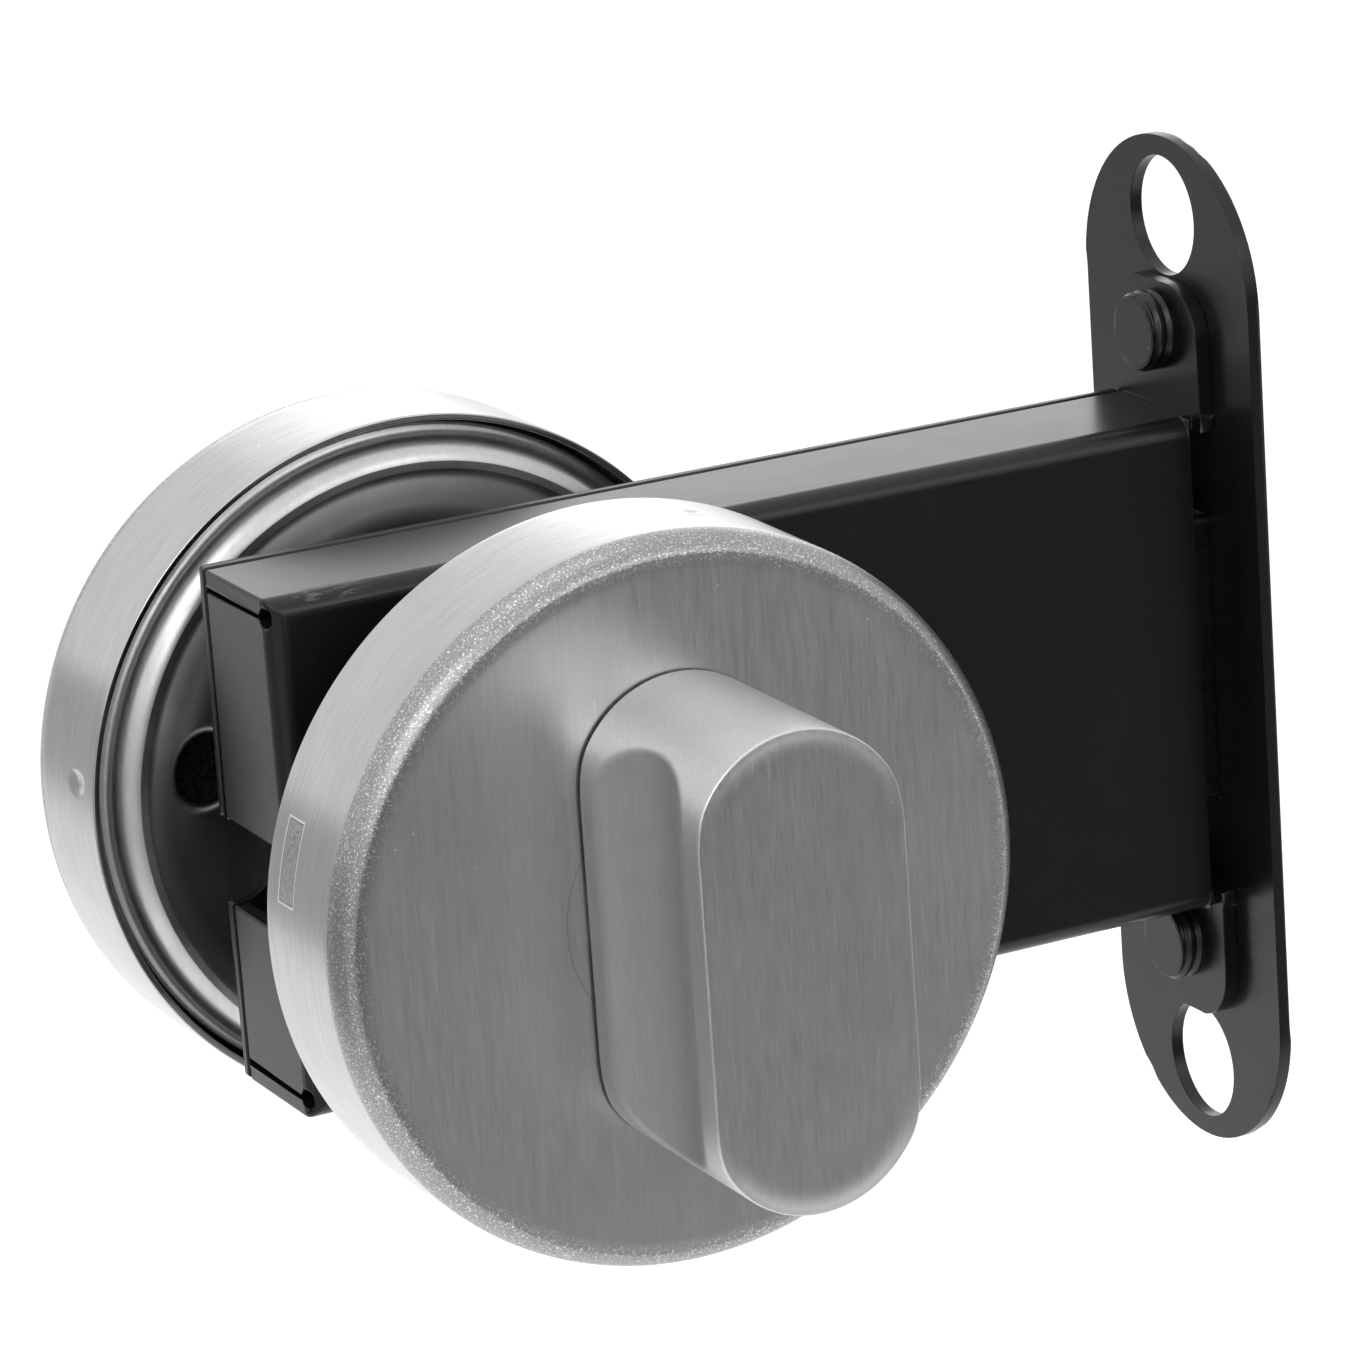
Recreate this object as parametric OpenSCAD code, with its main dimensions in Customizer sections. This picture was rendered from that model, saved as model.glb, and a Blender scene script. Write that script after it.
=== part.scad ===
// Toilet indicator bolt: a mortice deadbolt with a thumb turn inside and an
// indicator release outside.
// X runs out of the door's edge, Y through the door towards the outside, Z up.
// The origin is the middle of the forend's outer face, between its fixing holes.

/* [Placing in the door] */
// Door thickness, between the rims of the two roses
door_t = 31; // [29:1:40]
// Backset, from the forend's outer face to the spindle's axis
backset = 57; // [55:1:65]
// Drop of the spindle's axis below the middle of the forend
spindle_drop = 1.6; // [0.6:0.2:2.4]

/* [Case] */
// Thickness of the case over both plates
case_t = 12.3; // [12.1:0.1:13.5]
// Height of the case
case_h = 38; // [37:0.5:42]
// Distance from the spindle's axis to the rear end of the case
case_rear = 20; // [19.5:0.5:23]
// Sheet thickness of the folded case body
case_sheet = 1.2; // [1:0.1:1.4]
// Sheet thickness of the flat case cover
cover_sheet = 0.9; // [0.7:0.1:1.1]
// Outer radius of the folds in the case body
fold_r = 1.5; // [1:0.1:2]
// Distance that the front wall stops short of the forend
wall_stop = 2.1; // [1.6:0.1:3]
// Width of the slits between the folded flanges
slit_w = 0.4; // [0.3:0.1:0.8]
// Width of the seam between the folded flanges and the cover
seam_w = 0.3; // [0.2:0.1:0.4]
// Diameter of the relief holes at the ends of the slits
relief_d = 1.4; // [1:0.1:2.8]
// Height of the fixing notch in the rear end
notch_h = 6.5; // [5:0.5:7.5]
// Depth of the fixing notch from the rear end
notch_depth = 3.6; // [2.6:0.2:4]
// Drop of the fixing notch's middle below the spindle's axis
notch_drop = 1; // [0:0.2:1.6]
// Diameter of the studs that hold the cover
stud_d = 4; // [3.4:0.2:4.2]
// Diameter of the riveted necks of the cover studs
stud_neck_d = 2.6; // [2:0.2:3]
// Diameter of the rivet heads on the cover
rivet_head_d = 4.8; // [4.4:0.2:5.2]
// Height of the rivet heads
rivet_head_h = 0.7; // [0.4:0.1:0.9]
// Distance of the stud axes inside the top and bottom of the case
stud_inset = 3.6; // [3.6:0.1:3.8]
// Distance of the rear stud's axis from the rear end of the case
stud_rear = 4.5; // [4.2:0.1:6]
// Distance of the front studs' axes from the forend's outer face
stud_front = 18; // [14:0.5:20]
// Distance of the lower middle stud's axis in front of the spindle
stud_middle = 12; // [9:0.5:13]

/* [Lugs and forend] */
// Width of the lugs folded out against the forend
lug_w = 12; // [11:0.5:13]
// Distance that each lug stands above or below the case
lug_reach = 9.4; // [8.8:0.1:9.6]
// Corner radius of the lugs
lug_r = 4; // [2.5:0.5:5]
// Width of the forend, which has full round ends
forend_w = 23; // [21:0.5:25]
// Length of the forend
forend_l = 78; // [77:0.5:84]
// Thickness of the forend
forend_t = 1; // [0.8:0.1:1.2]
// Distance of the fixing holes from the ends of the forend
fixing_inset = 6; // [5.6:0.1:6.4]
// Diameter of the fixing holes
fixing_d = 9; // [8:0.2:9.4]
// Distance of the upper forend screw from the tip of its lug
upper_screw_inset = 3.8; // [3.6:0.1:4.2]
// Distance of the lower forend screw from the tip of its lug
lower_screw_inset = 5.5; // [4.8:0.1:5.8]
// Thread diameter of the forend screws
screw_d = 5.5; // [4.5:0.1:5.6]
// Head diameter of the forend screws
screw_head_d = 7; // [6.4:0.1:7.2]
// Head depth of the forend screws
screw_head_h = 1.7; // [1.4:0.1:1.9]
// Distance that the screw ends stand behind the lugs
screw_proud = 1.7; // [1:0.1:2.4]

/* [Bolt] */
// Thickness of the bolt head
bolt_t = 9; // [8:0.1:9.3]
// Height of the bolt head
bolt_h = 22; // [20:0.5:24]
// Length of the bolt head
bolt_l = 22; // [20:0.5:24]
// Thickness of the bolt tail
tail_t = 2.5; // [2:0.1:2.7]
// Length of the tail's tongue inside the bolt head
tongue_l = 10; // [8:0.5:11]
// Height of the tail's tongue
tongue_h = 14; // [12:0.5:16]
// Distance of the tail's middle behind the middle of the case, through the door
tail_shift = 0.35; // [0.1:0.05:0.5]
// Depth of the tail's lower edge below the spindle's axis
tail_low = 7.4; // [6.4:0.2:8]
// Width of the web beside and above the fork's slot
fork_web = 2.6; // [2:0.1:2.8]
// Diameter of the tail rivets
tail_rivet_d = 3; // [2.4:0.2:3.6]
// Distance between the tail rivets
tail_rivet_gap = 8; // [6:0.5:9]
// Distance of the guide tube in front of the spindle's axis
guide_x = 19; // [18.5:0.5:20.5]
// Outer diameter of the guide tube
guide_d = 7; // [6.4:0.2:7.4]
// Bore of the guide tube, for a fixing bolt through the door
guide_bore_d = 5.2; // [4.4:0.2:5.4]

/* [Follower] */
// Diameter of the follower's hub
hub_d = 10.8; // [10.4:0.1:11]
// Diameter of the follower's journals in the case
journal_d = 10; // [9.2:0.1:10.2]
// Radius of the crank, from the spindle's axis to the crank pin
crank_r = 9.5; // [9.3:0.1:9.7]
// Diameter of the crank pin
crank_pin_d = 4; // [3.6:0.1:4.2]
// Diameter of the crank's round end
crank_end_d = 6.4; // [6:0.2:6.8]
// Distance that the hub stands proud of the crank
hub_proud = 0.1; // [0.05:0.05:0.15]
// Thickness of the crank
crank_t = 3.4; // [3:0.1:3.5]
// Diameter of the detent cam
cam_d = 12; // [11.4:0.1:12.4]
// Depth of the two flats on the detent cam
cam_flat = 0.5; // [0.3:0.1:0.7]
// Thickness of the detent cam
cam_t = 2.8; // [2.4:0.1:2.9]
// Thickness of the detent spring's leaf
leaf_t = 0.6; // [0.4:0.1:0.7]
// Extra thickness of the detent spring's bend
bend_extra = 0.04; // [0.04:0.02:0.1]
// Middle radius of the detent spring's bend
leaf_bend = 2.2; // [1.8:0.1:2.5]
// Length of the detent spring's foot in front of the spindle's axis
leaf_foot = 8; // [5:0.5:9]
// Length of the detent spring's upper leaf in front of the spindle's axis
leaf_tip = 5; // [4:0.5:6]

/* [Spindle] */
// Width across the flats of the square spindle
spindle_w = 5; // [4.4:0.1:5.2]
// Depth of the spindle's sockets, from the rim plane of each rose
socket_depth = 9.6; // [9:0.2:10.4]

/* [Roses] */
// Diameter of the rose covers
rose_d = 52; // [51.6:0.1:54]
// Depth of the rose covers
rose_depth = 12; // [11.8:0.1:13]
// Outer radius of the fillet between wall and face
rose_fillet = 3; // [1.5:0.25:4]
// Wall thickness of the rose covers
rose_wall = 0.5; // [0.4:0.05:0.6]
// Gap between a cover's wall and the skirt of its backing plate
plate_gap = 0.5; // [0.4:0.05:0.8]
// Sheet thickness of the backing plates
plate_sheet = 1; // [0.8:0.1:1.2]
// Depth of the dish in the backing plates
plate_dish = 2.5; // [2.3:0.1:3]
// Width of the flat ring along a plate's rolled edge
plate_ring_w = 2.4; // [2:0.1:3]
// Width of the slope from that ring to the floor of the dish
plate_slope_w = 1.8; // [1.4:0.1:2.2]
// Depth of the skirt round a backing plate
plate_skirt = 3; // [2.4:0.1:3.2]
// Circle on which the rose fixing holes lie
rose_fixing_pcd = 32.6; // [31:0.2:34]
// Diameter of the rose fixing holes
rose_fixing_d = 5.3; // [4.5:0.1:5.5]
// Turn of the rose fixing holes from the horizontal
rose_fixing_turn = 7; // [0:1:20]
// Radius of the ball that presses the snap dimples
dimple_r = 2.4; // [1.8:0.1:2.8]
// Depth of the snap dimples
dimple_depth = 0.4; // [0.3:0.05:0.5]
// Distance of the snap dimples from the rim
dimple_in = 4.6; // [4.4:0.1:5.4]
// Turn of the front cover's dimples from the horizontal
front_dimple_turn = 77; // [0:1:180]
// Turn of the rear cover's dimples from the horizontal
rear_dimple_turn = -6; // [-30:1:180]

/* [Bearings in the roses] */
// Diameter of the shanks that turn in the roses
shank_d = 11; // [10.4:0.1:11.4]
// Radial gap between shank and cover
cover_gap = 0.4; // [0.3:0.1:0.6]
// Diameter of the bushes where they pass the plates
bush_d = 16; // [15.4:0.2:17]
// Diameter of the bush flanges
bush_flange_d = 20; // [18.6:0.2:21]
// Thickness of the bush flanges
bush_flange_t = 1.4; // [1:0.1:1.8]
// Height of the bushes' inner ends above the rim plane
bush_start = 1.6; // [1.5:0.1:2]
// Outer diameter of the circlips
clip_d = 14.4; // [13.4:0.2:15]
// Thickness of the circlips
clip_t = 0.75; // [0.6:0.05:0.8]
// Depth of the circlip grooves
groove_depth = 0.8; // [0.5:0.1:1]
// Gap of the circlips at their mouth, in degrees
clip_mouth = 70; // [50:5:110]
// Diameter of the grub screw
grub_d = 3; // [2.4:0.2:3.4]

/* [Thumb turn] */
// Width of the thumb turn
turn_w = 15.4; // [14.8:0.2:16]
// Length of the thumb turn
turn_l = 33.6; // [31:0.2:36]
// Radius of the thumb turn's arched ends
turn_end_r = 8; // [8:0.1:9]
// Depth of the thumb turn's body
turn_depth = 17.4; // [16.4:0.2:20]
// Thickness of the washer between the turn and its rose
washer_t = 0.25; // [0.15:0.05:0.4]
// Diameter of that washer
washer_d = 14.6; // [13:0.2:14.8]
// Radius of the finger scallops
scallop_r = 11.7; // [10.5:0.1:13]
// Depth of the finger scallops
scallop_in = 1.9; // [1.2:0.1:2.1]
// Height of the scallops' middle above the rose
scallop_mid = 8.7; // [8:0.1:9]

/* [Release and indicator] */
// Diameter of the release boss
boss_d = 19; // [18:0.2:20.4]
// Height of the release boss
boss_h = 3.2; // [2.6:0.1:4.5]
// Chamfer of the release boss
boss_chamfer = 0.6; // [0.3:0.1:0.9]
// Width of the coin slot
coin_w = 1.8; // [1.4:0.1:2.4]
// Length of the coin slot
coin_l = 14; // [11:0.5:15]
// Depth of the coin slot
coin_depth = 2; // [1.4:0.1:2.2]
// Inner radius of the window
window_in = 12.4; // [11.6:0.1:13]
// Outer radius of the window
window_out = 18.4; // [16.5:0.1:19]
// Angle that the window spans
window_angle = 76; // [60:2:84]
// Thickness of the lens flange behind the window
lens_t = 0.5; // [0.4:0.05:0.6]
// Overlap of the lens flange round the window
lens_lap = 1.2; // [0.8:0.1:1.6]
// Distance of the indicator disc's edge inside the cover's outer wall
disc_inset = 5; // [4.4:0.1:6]
// Thickness of the indicator disc
disc_t = 0.8; // [0.6:0.1:0.9]
// Diameter of the indicator disc's collar
disc_collar_d = 16; // [14:0.5:17]
// Height of the indicator disc's collar
disc_collar_h = 1.2; // [0.8:0.1:1.5]

/* [Fits] */
// Radial gap of a shaft that turns in its bearing
running = 0.05; // [0.03:0.01:0.08]
// Gap round a piece that is held fast
snug = 0.05; // [0.03:0.01:0.08]
// Gap between pieces that move past each other
loose = 0.3; // [0.2:0.05:0.35]
// Gap between the bolt head and the forend's slot
slot_gap = 0.1; // [0.05:0.05:0.3]
// Play of the crank pin in the fork, on each side
fork_play = 0.38; // [0.34:0.01:0.42]

/* [Hidden] */
$fn = 96;
over = 1;
quarter = 45;

case_front = -case_t / 2;
case_inner_front = case_front + case_sheet;
case_back = case_t / 2;
case_inner_back = case_back - cover_sheet;
case_end = -backset - case_rear;
case_inner_h = case_h - 2 * case_sheet;
forend_back = -forend_t;
lug_back = forend_back - case_sheet;
lug_top = case_h / 2 + lug_reach;
screw_places = [lug_top - upper_screw_inset, lower_screw_inset - lug_top];
wall_end = forend_back - wall_stop;
cover_end = lug_back - 0.1;
slot_y = bolt_t / 2 + slot_gap;
slot_z = bolt_h / 2 + slot_gap;
stud_z = case_h / 2 - stud_inset;
stud_places = [
    [case_end + stud_rear, stud_z],
    [-stud_front, stud_z],
    [-stud_front, -stud_z],
    [stud_middle - backset, -stud_z]
];

crank_side = crank_r * sin(quarter);
throw = 2 * crank_side;
tail_front = tail_shift - tail_t / 2;
tail_back = tail_shift + tail_t / 2;
hub_clear_r = hub_d / 2 + loose + 0.1;
fork_half = crank_pin_d / 2 + fork_play;
fork_top = crank_r + crank_pin_d / 2 + loose + 0.1;
tail_rise = fork_top + fork_web - 0.1;
guide_half = guide_d / 2 + loose;
crank_front = case_inner_front + loose;
cam_back = case_inner_back - loose;
cam_front = cam_back - cam_t;

leaf_floor = spindle_drop - case_inner_h / 2 + (leaf_t + bend_extra) / 2;
leaf_bend_x = leaf_bend + leaf_t / 2 + loose - case_rear + case_sheet;
leaf_bend_z = leaf_floor + leaf_bend;
leaf_far = cam_d / 2 + loose + leaf_t / 2;
leaf_slope = atan2(-leaf_bend_z, -leaf_bend_x)
    - asin((leaf_bend + leaf_far) / norm([leaf_bend_x, leaf_bend_z]));
leaf_length = (leaf_tip - leaf_bend_x + leaf_bend * sin(leaf_slope)) / cos(leaf_slope);

rim_y = door_t / 2;
face_in = rose_depth - rose_wall;
shank_start = 0.25;
clip_play = 0.15;
clip_start = bush_start - clip_play - clip_t;
turn_base = rose_depth + washer_t + running;
dimple_far = rose_d / 2 - dimple_depth + dimple_r;
lens_low = face_in - lens_t;
disc_top = lens_low - loose;

black_paint = [0.09, 0.09, 0.1];
satin_steel = [0.7, 0.7, 0.69];
bright_steel = [0.62, 0.63, 0.65];
dull_steel = [0.45, 0.46, 0.48];
nylon = [0.9, 0.89, 0.84];

// A rod along Y between two Y values, at a place in the XZ plane
module rod(place, y0, y1, r) {
    translate([place[0], y0, place[1]])
        rotate([-90, 0, 0])
            cylinder(h = y1 - y0, r = r);
}

// A flat shape in the XZ plane, thickened along Y between two Y values
module plate(y0, y1) {
    translate([0, y1, 0])
        rotate([90, 0, 0])
            linear_extrude(y1 - y0)
                children();
}

// A block between two corners
module block(low, high) {
    translate(low)
        cube(high - low);
}

// Moves children from the spindle's axis to its place in the lock
module at_spindle() {
    translate([-backset, 0, -spindle_drop])
        children();
}

// Front rose frame: the children's Z leaves the door, their Y is up
module front_side() {
    at_spindle()
        translate([0, -rim_y, 0])
            rotate([90, 0, 0])
                children();
}

// Rear rose frame, the mirror image of the front one
module rear_side() {
    mirror([0, 1, 0])
        front_side()
            children();
}

// The waste outside a rounded edge that runs along Z at the origin
module edge_waste(length) {
    linear_extrude(length)
        difference() {
            translate([-over, -over])
                square(fold_r + over);
            translate([fold_r, fold_r])
                circle(fold_r);
        }
}

// Fixing notch in the rear end of the case, seen along Y
module notch_shape() {
    notch_z = -spindle_drop - notch_drop;
    notch_round = notch_h / 2;
    intersection() {
        translate([case_end - over, notch_z - notch_h / 2])
            square([notch_depth + over, notch_h]);
        union() {
            translate([case_end + notch_depth - notch_round, notch_z])
                circle(notch_round);
            translate([case_end - over, notch_z - notch_h / 2])
                square([notch_depth - notch_round + over, notch_h]);
        }
    }
}

// Holes that the front wall and the cover share, seen along Y
module bearing_holes() {
    translate([-backset, -spindle_drop])
        circle(journal_d / 2 + running);
    translate([guide_x - backset, -spindle_drop])
        circle(guide_d / 2 + snug);
    notch_shape();
}

// One lug, folded up from the top flange
module lug() {
    translate([lug_back, 0, 0])
        rotate([90, 0, 90])
            linear_extrude(case_sheet)
                union() {
                    translate([-lug_w / 2, case_h / 2 - case_sheet])
                        square([lug_w, lug_reach + case_sheet - lug_r]);
                    translate([lug_r - lug_w / 2, case_h / 2 - case_sheet])
                        square([lug_w - 2 * lug_r, lug_reach + case_sheet]);
                    for (side = [-1, 1])
                        translate([side * (lug_w / 2 - lug_r), lug_top - lug_r])
                            circle(lug_r);
                }
}

// Folded case body: front wall, top, bottom and rear flanges, two lugs
module case_body() {
    color(black_paint)
        difference() {
            union() {
                block(
                    [case_end, case_front, -case_h / 2],
                    [forend_back, case_inner_back - seam_w, case_h / 2]
                );
                lug();
                mirror([0, 0, 1])
                    lug();
            }
            block(
                [case_end + case_sheet, case_inner_front, -case_inner_h / 2],
                [0, case_back + over, case_inner_h / 2]
            );
            // front wall stops short of the forend
            block(
                [wall_end, case_front - over, -case_h / 2 - over],
                [lug_back, case_inner_front, case_h / 2 + over]
            );
            block(
                [wall_end, case_front - over, -case_inner_h / 2],
                [0, case_inner_front + over, case_inner_h / 2]
            );
            // rounded folds along the top, the bottom and the rear
            for (side = [0, 1])
                mirror([0, 0, side])
                    translate([lug_back - over, case_front, case_h / 2])
                        rotate([0, -90, 0])
                            mirror([1, 0, 0])
                                edge_waste(case_rear + backset);
            translate([case_end, case_front, -case_h / 2 - over])
                edge_waste(case_h + 2 * over);
            // slits and relief holes between the rear flange and its neighbours
            for (side = [0, 1])
                mirror([0, 0, side]) {
                    block(
                        [case_end - over, case_inner_front, case_inner_h / 2 - slit_w],
                        [case_end + case_sheet + over, case_back + over, case_inner_h / 2]
                    );
                    translate([case_end - over, case_inner_front, case_inner_h / 2 - slit_w / 2])
                        rotate([0, 90, 0])
                            cylinder(h = case_sheet + 2 * over, d = relief_d);
                }
            plate(case_front - over, case_inner_front + over)
                bearing_holes();
            plate(case_front - over, case_back + over)
                notch_shape();
            // threaded holes of the forend screws, countersunk
            screw_holes();
        }
}

// Flat cover on the rear of the case
module case_cover() {
    color(black_paint)
        plate(case_inner_back, case_back)
            difference() {
                translate([case_end, -case_h / 2])
                    square([cover_end - case_end, case_h]);
                bearing_holes();
                for (place = stud_places)
                    translate(place)
                        circle(stud_neck_d / 2 + snug);
            }
}

// Studs between the case body and its cover, riveted over on the cover
module cover_studs() {
    color(black_paint)
        for (place = stud_places) {
            rod(place, case_inner_front, case_inner_back, stud_d / 2);
            rod(place, case_inner_back - over, case_back, stud_neck_d / 2);
            translate([place[0], case_back, place[1]])
                rotate([-90, 0, 0])
                    cylinder(
                        h = rivet_head_h,
                        d1 = rivet_head_d,
                        d2 = rivet_head_d - rivet_head_h
                    );
        }
}

// One forend screw along X: the head is flush with the forend's outer face
module screw_form(gap) {
    head_r = screw_head_d / 2 + gap;
    thread_r = screw_d / 2 + gap;
    rotate([0, -90, 0]) {
        cylinder(h = screw_head_h, r1 = head_r, r2 = thread_r);
        cylinder(h = forend_t + case_sheet + screw_proud, r = thread_r);
    }
}

module screw_holes() {
    for (z = screw_places)
        translate([0, 0, z])
            screw_form(snug);
}

// Forend plate with full round ends
module forend() {
    color(black_paint)
        difference() {
            translate([forend_back, 0, 0])
                rotate([90, 0, 90])
                    linear_extrude(forend_t)
                        difference() {
                            union() {
                                square([forend_w, forend_l - forend_w], center = true);
                                for (side = [-1, 1])
                                    translate([0, side * (forend_l - forend_w) / 2])
                                        circle(forend_w / 2);
                            }
                            square([2 * slot_y, 2 * slot_z], center = true);
                            for (side = [-1, 1])
                                translate([0, side * (forend_l / 2 - fixing_inset)])
                                    circle(fixing_d / 2);
                        }
            screw_holes();
        }
}

// Screws that hold the forend to the lugs, with a driver recess in each head
module forend_screws() {
    driver_w = screw_d / 6;
    color(black_paint)
        for (z = screw_places)
            translate([0, 0, z])
                difference() {
                    screw_form(0);
                    for (turn = [0, 90])
                        rotate([turn, 0, 0])
                            block(
                                [-driver_w, -screw_d / 2.5, -driver_w / 2],
                                [over, screw_d / 2.5, driver_w / 2]
                            );
                }
}

// Bolt head, slotted at the rear for the tail
module bolt_head() {
    edge = 0.6;
    color(bright_steel)
        difference() {
            translate([-bolt_l, 0, 0])
                rotate([90, 0, 90])
                    linear_extrude(bolt_l)
                        union() {
                            square([bolt_t - 2 * edge, bolt_h], center = true);
                            square([bolt_t, bolt_h - 2 * edge], center = true);
                            for (y = [-1, 1], z = [-1, 1])
                                translate([y * (bolt_t / 2 - edge), z * (bolt_h / 2 - edge)])
                                    circle(edge);
                        }
            block(
                [-bolt_l - over, tail_front, -bolt_h / 2 - over],
                [tongue_l - bolt_l, tail_back, bolt_h / 2 + over]
            );
            for (side = [-1, 1])
                rod(tail_rivet_place(side), -bolt_t, bolt_t, tail_rivet_d / 2 + snug);
        }
}

function tail_rivet_place(side) = [tongue_l / 2 - bolt_l, side * tail_rivet_gap / 2];

// Bolt tail: fork for the crank pin, guide slot and tongue
module bolt_tail() {
    spindle_z = -spindle_drop;
    fork_x = -backset - crank_side;
    neck_x = -backset + hub_clear_r;
    guide_stop = guide_x - backset;
    color(dull_steel)
        plate(tail_front, tail_back)
            difference() {
                union() {
                    translate([fork_x - fork_half - fork_web, spindle_z + hub_clear_r])
                        square([
                            neck_x - fork_x + fork_half + fork_web + over,
                            tail_rise - hub_clear_r
                        ]);
                    translate([neck_x, spindle_z - tail_low])
                        square([-bolt_l - neck_x, tail_low + tail_rise]);
                    translate([-bolt_l - over, -tongue_h / 2])
                        square([tongue_l + over - snug, tongue_h]);
                }
                translate([fork_x - fork_half, spindle_z])
                    square([2 * fork_half, fork_top]);
                translate([neck_x - over, spindle_z - guide_half])
                    square([guide_stop - neck_x + over, 2 * guide_half]);
                translate([guide_stop, spindle_z])
                    circle(guide_half);
                for (side = [-1, 1])
                    translate(tail_rivet_place(side))
                        circle(tail_rivet_d / 2 + snug);
            }
}

// Rivets through bolt head and tail
module tail_rivets() {
    color(bright_steel)
        for (side = [-1, 1])
            rod(tail_rivet_place(side), -bolt_t / 2, bolt_t / 2, tail_rivet_d / 2);
}

// Tube riveted between the case walls, which guides the bolt tail
module guide_tube() {
    color(dull_steel)
        difference() {
            rod([guide_x - backset, -spindle_drop], case_front, case_back, guide_d / 2);
            rod(
                [guide_x - backset, -spindle_drop],
                case_front - over, case_back + over, guide_bore_d / 2
            );
        }
}

// Follower: journals, hub, crank and detent cam on one square bore
module follower() {
    bore_w = spindle_w + 2 * snug;
    color(dull_steel)
        at_spindle()
            difference() {
                union() {
                    rod([0, 0], case_front, case_back, journal_d / 2);
                    rod([0, 0], crank_front - hub_proud, cam_back, hub_d / 2);
                    // crank towards the pin, at 45 degrees behind the axis
                    plate(crank_front, crank_front + crank_t)
                        rotate(quarter)
                            union() {
                                translate([0, crank_r])
                                    circle(crank_end_d / 2);
                                translate([-crank_end_d / 2, 0])
                                    square([crank_end_d, crank_r]);
                            }
                    difference() {
                        rod([0, 0], cam_front, cam_back, cam_d / 2);
                        block(
                            [-cam_d, cam_front - over, -cam_d],
                            [cam_d, cam_back + over, cam_flat - cam_d / 2]
                        );
                        block(
                            [cam_d / 2 - cam_flat, cam_front - over, -cam_d],
                            [cam_d, cam_back + over, cam_d]
                        );
                    }
                }
                block(
                    [-bore_w / 2, case_front - over, -bore_w / 2],
                    [bore_w / 2, case_back + over, bore_w / 2]
                );
                rod(
                    [-crank_side, crank_side],
                    crank_front - over, crank_front + crank_t + over,
                    crank_pin_d / 2 + snug
                );
            }
}

// Pin in the crank that drives the fork
module crank_pin() {
    color(bright_steel)
        at_spindle()
            rod([-crank_side, crank_side], crank_front, tail_back + over, crank_pin_d / 2);
}

// Leaf spring between the case's floor and the detent cam, drawn at rest
module detent_spring() {
    reach = 2 * leaf_bend + leaf_t;
    bend_half = (leaf_t + bend_extra) / 2;
    tuck = leaf_t / 2;
    color(bright_steel)
        at_spindle()
            plate(cam_front, cam_back)
                union() {
                    translate([leaf_bend_x - tuck, leaf_floor - leaf_t / 2])
                        square([leaf_foot - leaf_bend_x + tuck, leaf_t]);
                    translate([leaf_bend_x, leaf_bend_z])
                        intersection() {
                            difference() {
                                circle(leaf_bend + bend_half);
                                circle(leaf_bend - bend_half);
                            }
                            polygon([
                                [0, 0],
                                [0, -reach],
                                [-reach, -reach],
                                [-reach, reach],
                                [-reach * sin(leaf_slope), reach * cos(leaf_slope)]
                            ]);
                        }
                    translate([leaf_bend_x, leaf_bend_z])
                        rotate(leaf_slope)
                            translate([-tuck, leaf_bend - leaf_t / 2])
                                square([leaf_length + tuck, leaf_t]);
                }
}

// Square spindle from the thumb turn to the release boss
module spindle() {
    half = rim_y + socket_depth - loose;
    color(bright_steel)
        at_spindle()
            block(
                [-spindle_w / 2, -half, -spindle_w / 2],
                [spindle_w / 2, half, spindle_w / 2]
            );
}

// Outline of a cup with a rounded outer corner, to be spun about its axis
module cup_outline(r, depth, corner) {
    square([r, depth - corner]);
    square([r - corner, depth]);
    translate([r - corner, depth - corner])
        circle(corner);
}

// Rose cover: a deep-drawn cup with a bore for the shank and two snap dimples
module rose_cover(dimple_turn) {
    difference() {
        union() {
            rotate_extrude()
                intersection() {
                    difference() {
                        cup_outline(rose_d / 2, rose_depth, rose_fillet);
                        cup_outline(rose_d / 2 - rose_wall, face_in, rose_fillet - rose_wall);
                    }
                    translate([shank_d / 2 + cover_gap, 0])
                        square([rose_d, rose_depth]);
                }
            for (turn = [0, 180])
                rotate(dimple_turn + turn)
                    intersection() {
                        translate([dimple_far, 0, dimple_in])
                            sphere(dimple_r + rose_wall);
                        cylinder(h = rose_depth, r = (rose_d - rose_wall) / 2);
                    }
        }
        for (turn = [0, 180])
            rotate(dimple_turn + turn)
                translate([dimple_far, 0, dimple_in])
                    sphere(dimple_r);
    }
}

// Backing plate: rolled rim, skirt, dished floor, bush hole and fixing holes
module rose_plate() {
    rim_r = rose_d / 2 - rose_wall - plate_gap;
    ring_r = rim_r - plate_ring_w;
    floor_r = ring_r - plate_slope_w;
    difference() {
        rotate_extrude()
            difference() {
                union() {
                    polygon([
                        [bush_d / 2 + snug, plate_dish],
                        [floor_r, plate_dish],
                        [ring_r, 0],
                        [rim_r - plate_sheet, 0],
                        [rim_r - plate_sheet, plate_sheet],
                        [ring_r + plate_sheet / 2, plate_sheet],
                        [floor_r + plate_sheet / 2, plate_dish + plate_sheet],
                        [bush_d / 2 + snug, plate_dish + plate_sheet]
                    ]);
                    translate([rim_r - plate_sheet, plate_sheet])
                        square([plate_sheet, plate_skirt - plate_sheet]);
                    translate([rim_r - plate_sheet, plate_sheet])
                        circle(plate_sheet);
                }
                translate([rim_r - 2 * plate_sheet, plate_sheet])
                    square([plate_sheet, 2 * plate_sheet]);
            }
        for (turn = [0, 180])
            rotate(turn - rose_fixing_turn)
                translate([rose_fixing_pcd / 2, 0, -over])
                    cylinder(h = plate_dish + plate_sheet + 2 * over, d = rose_fixing_d);
    }
}

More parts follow.
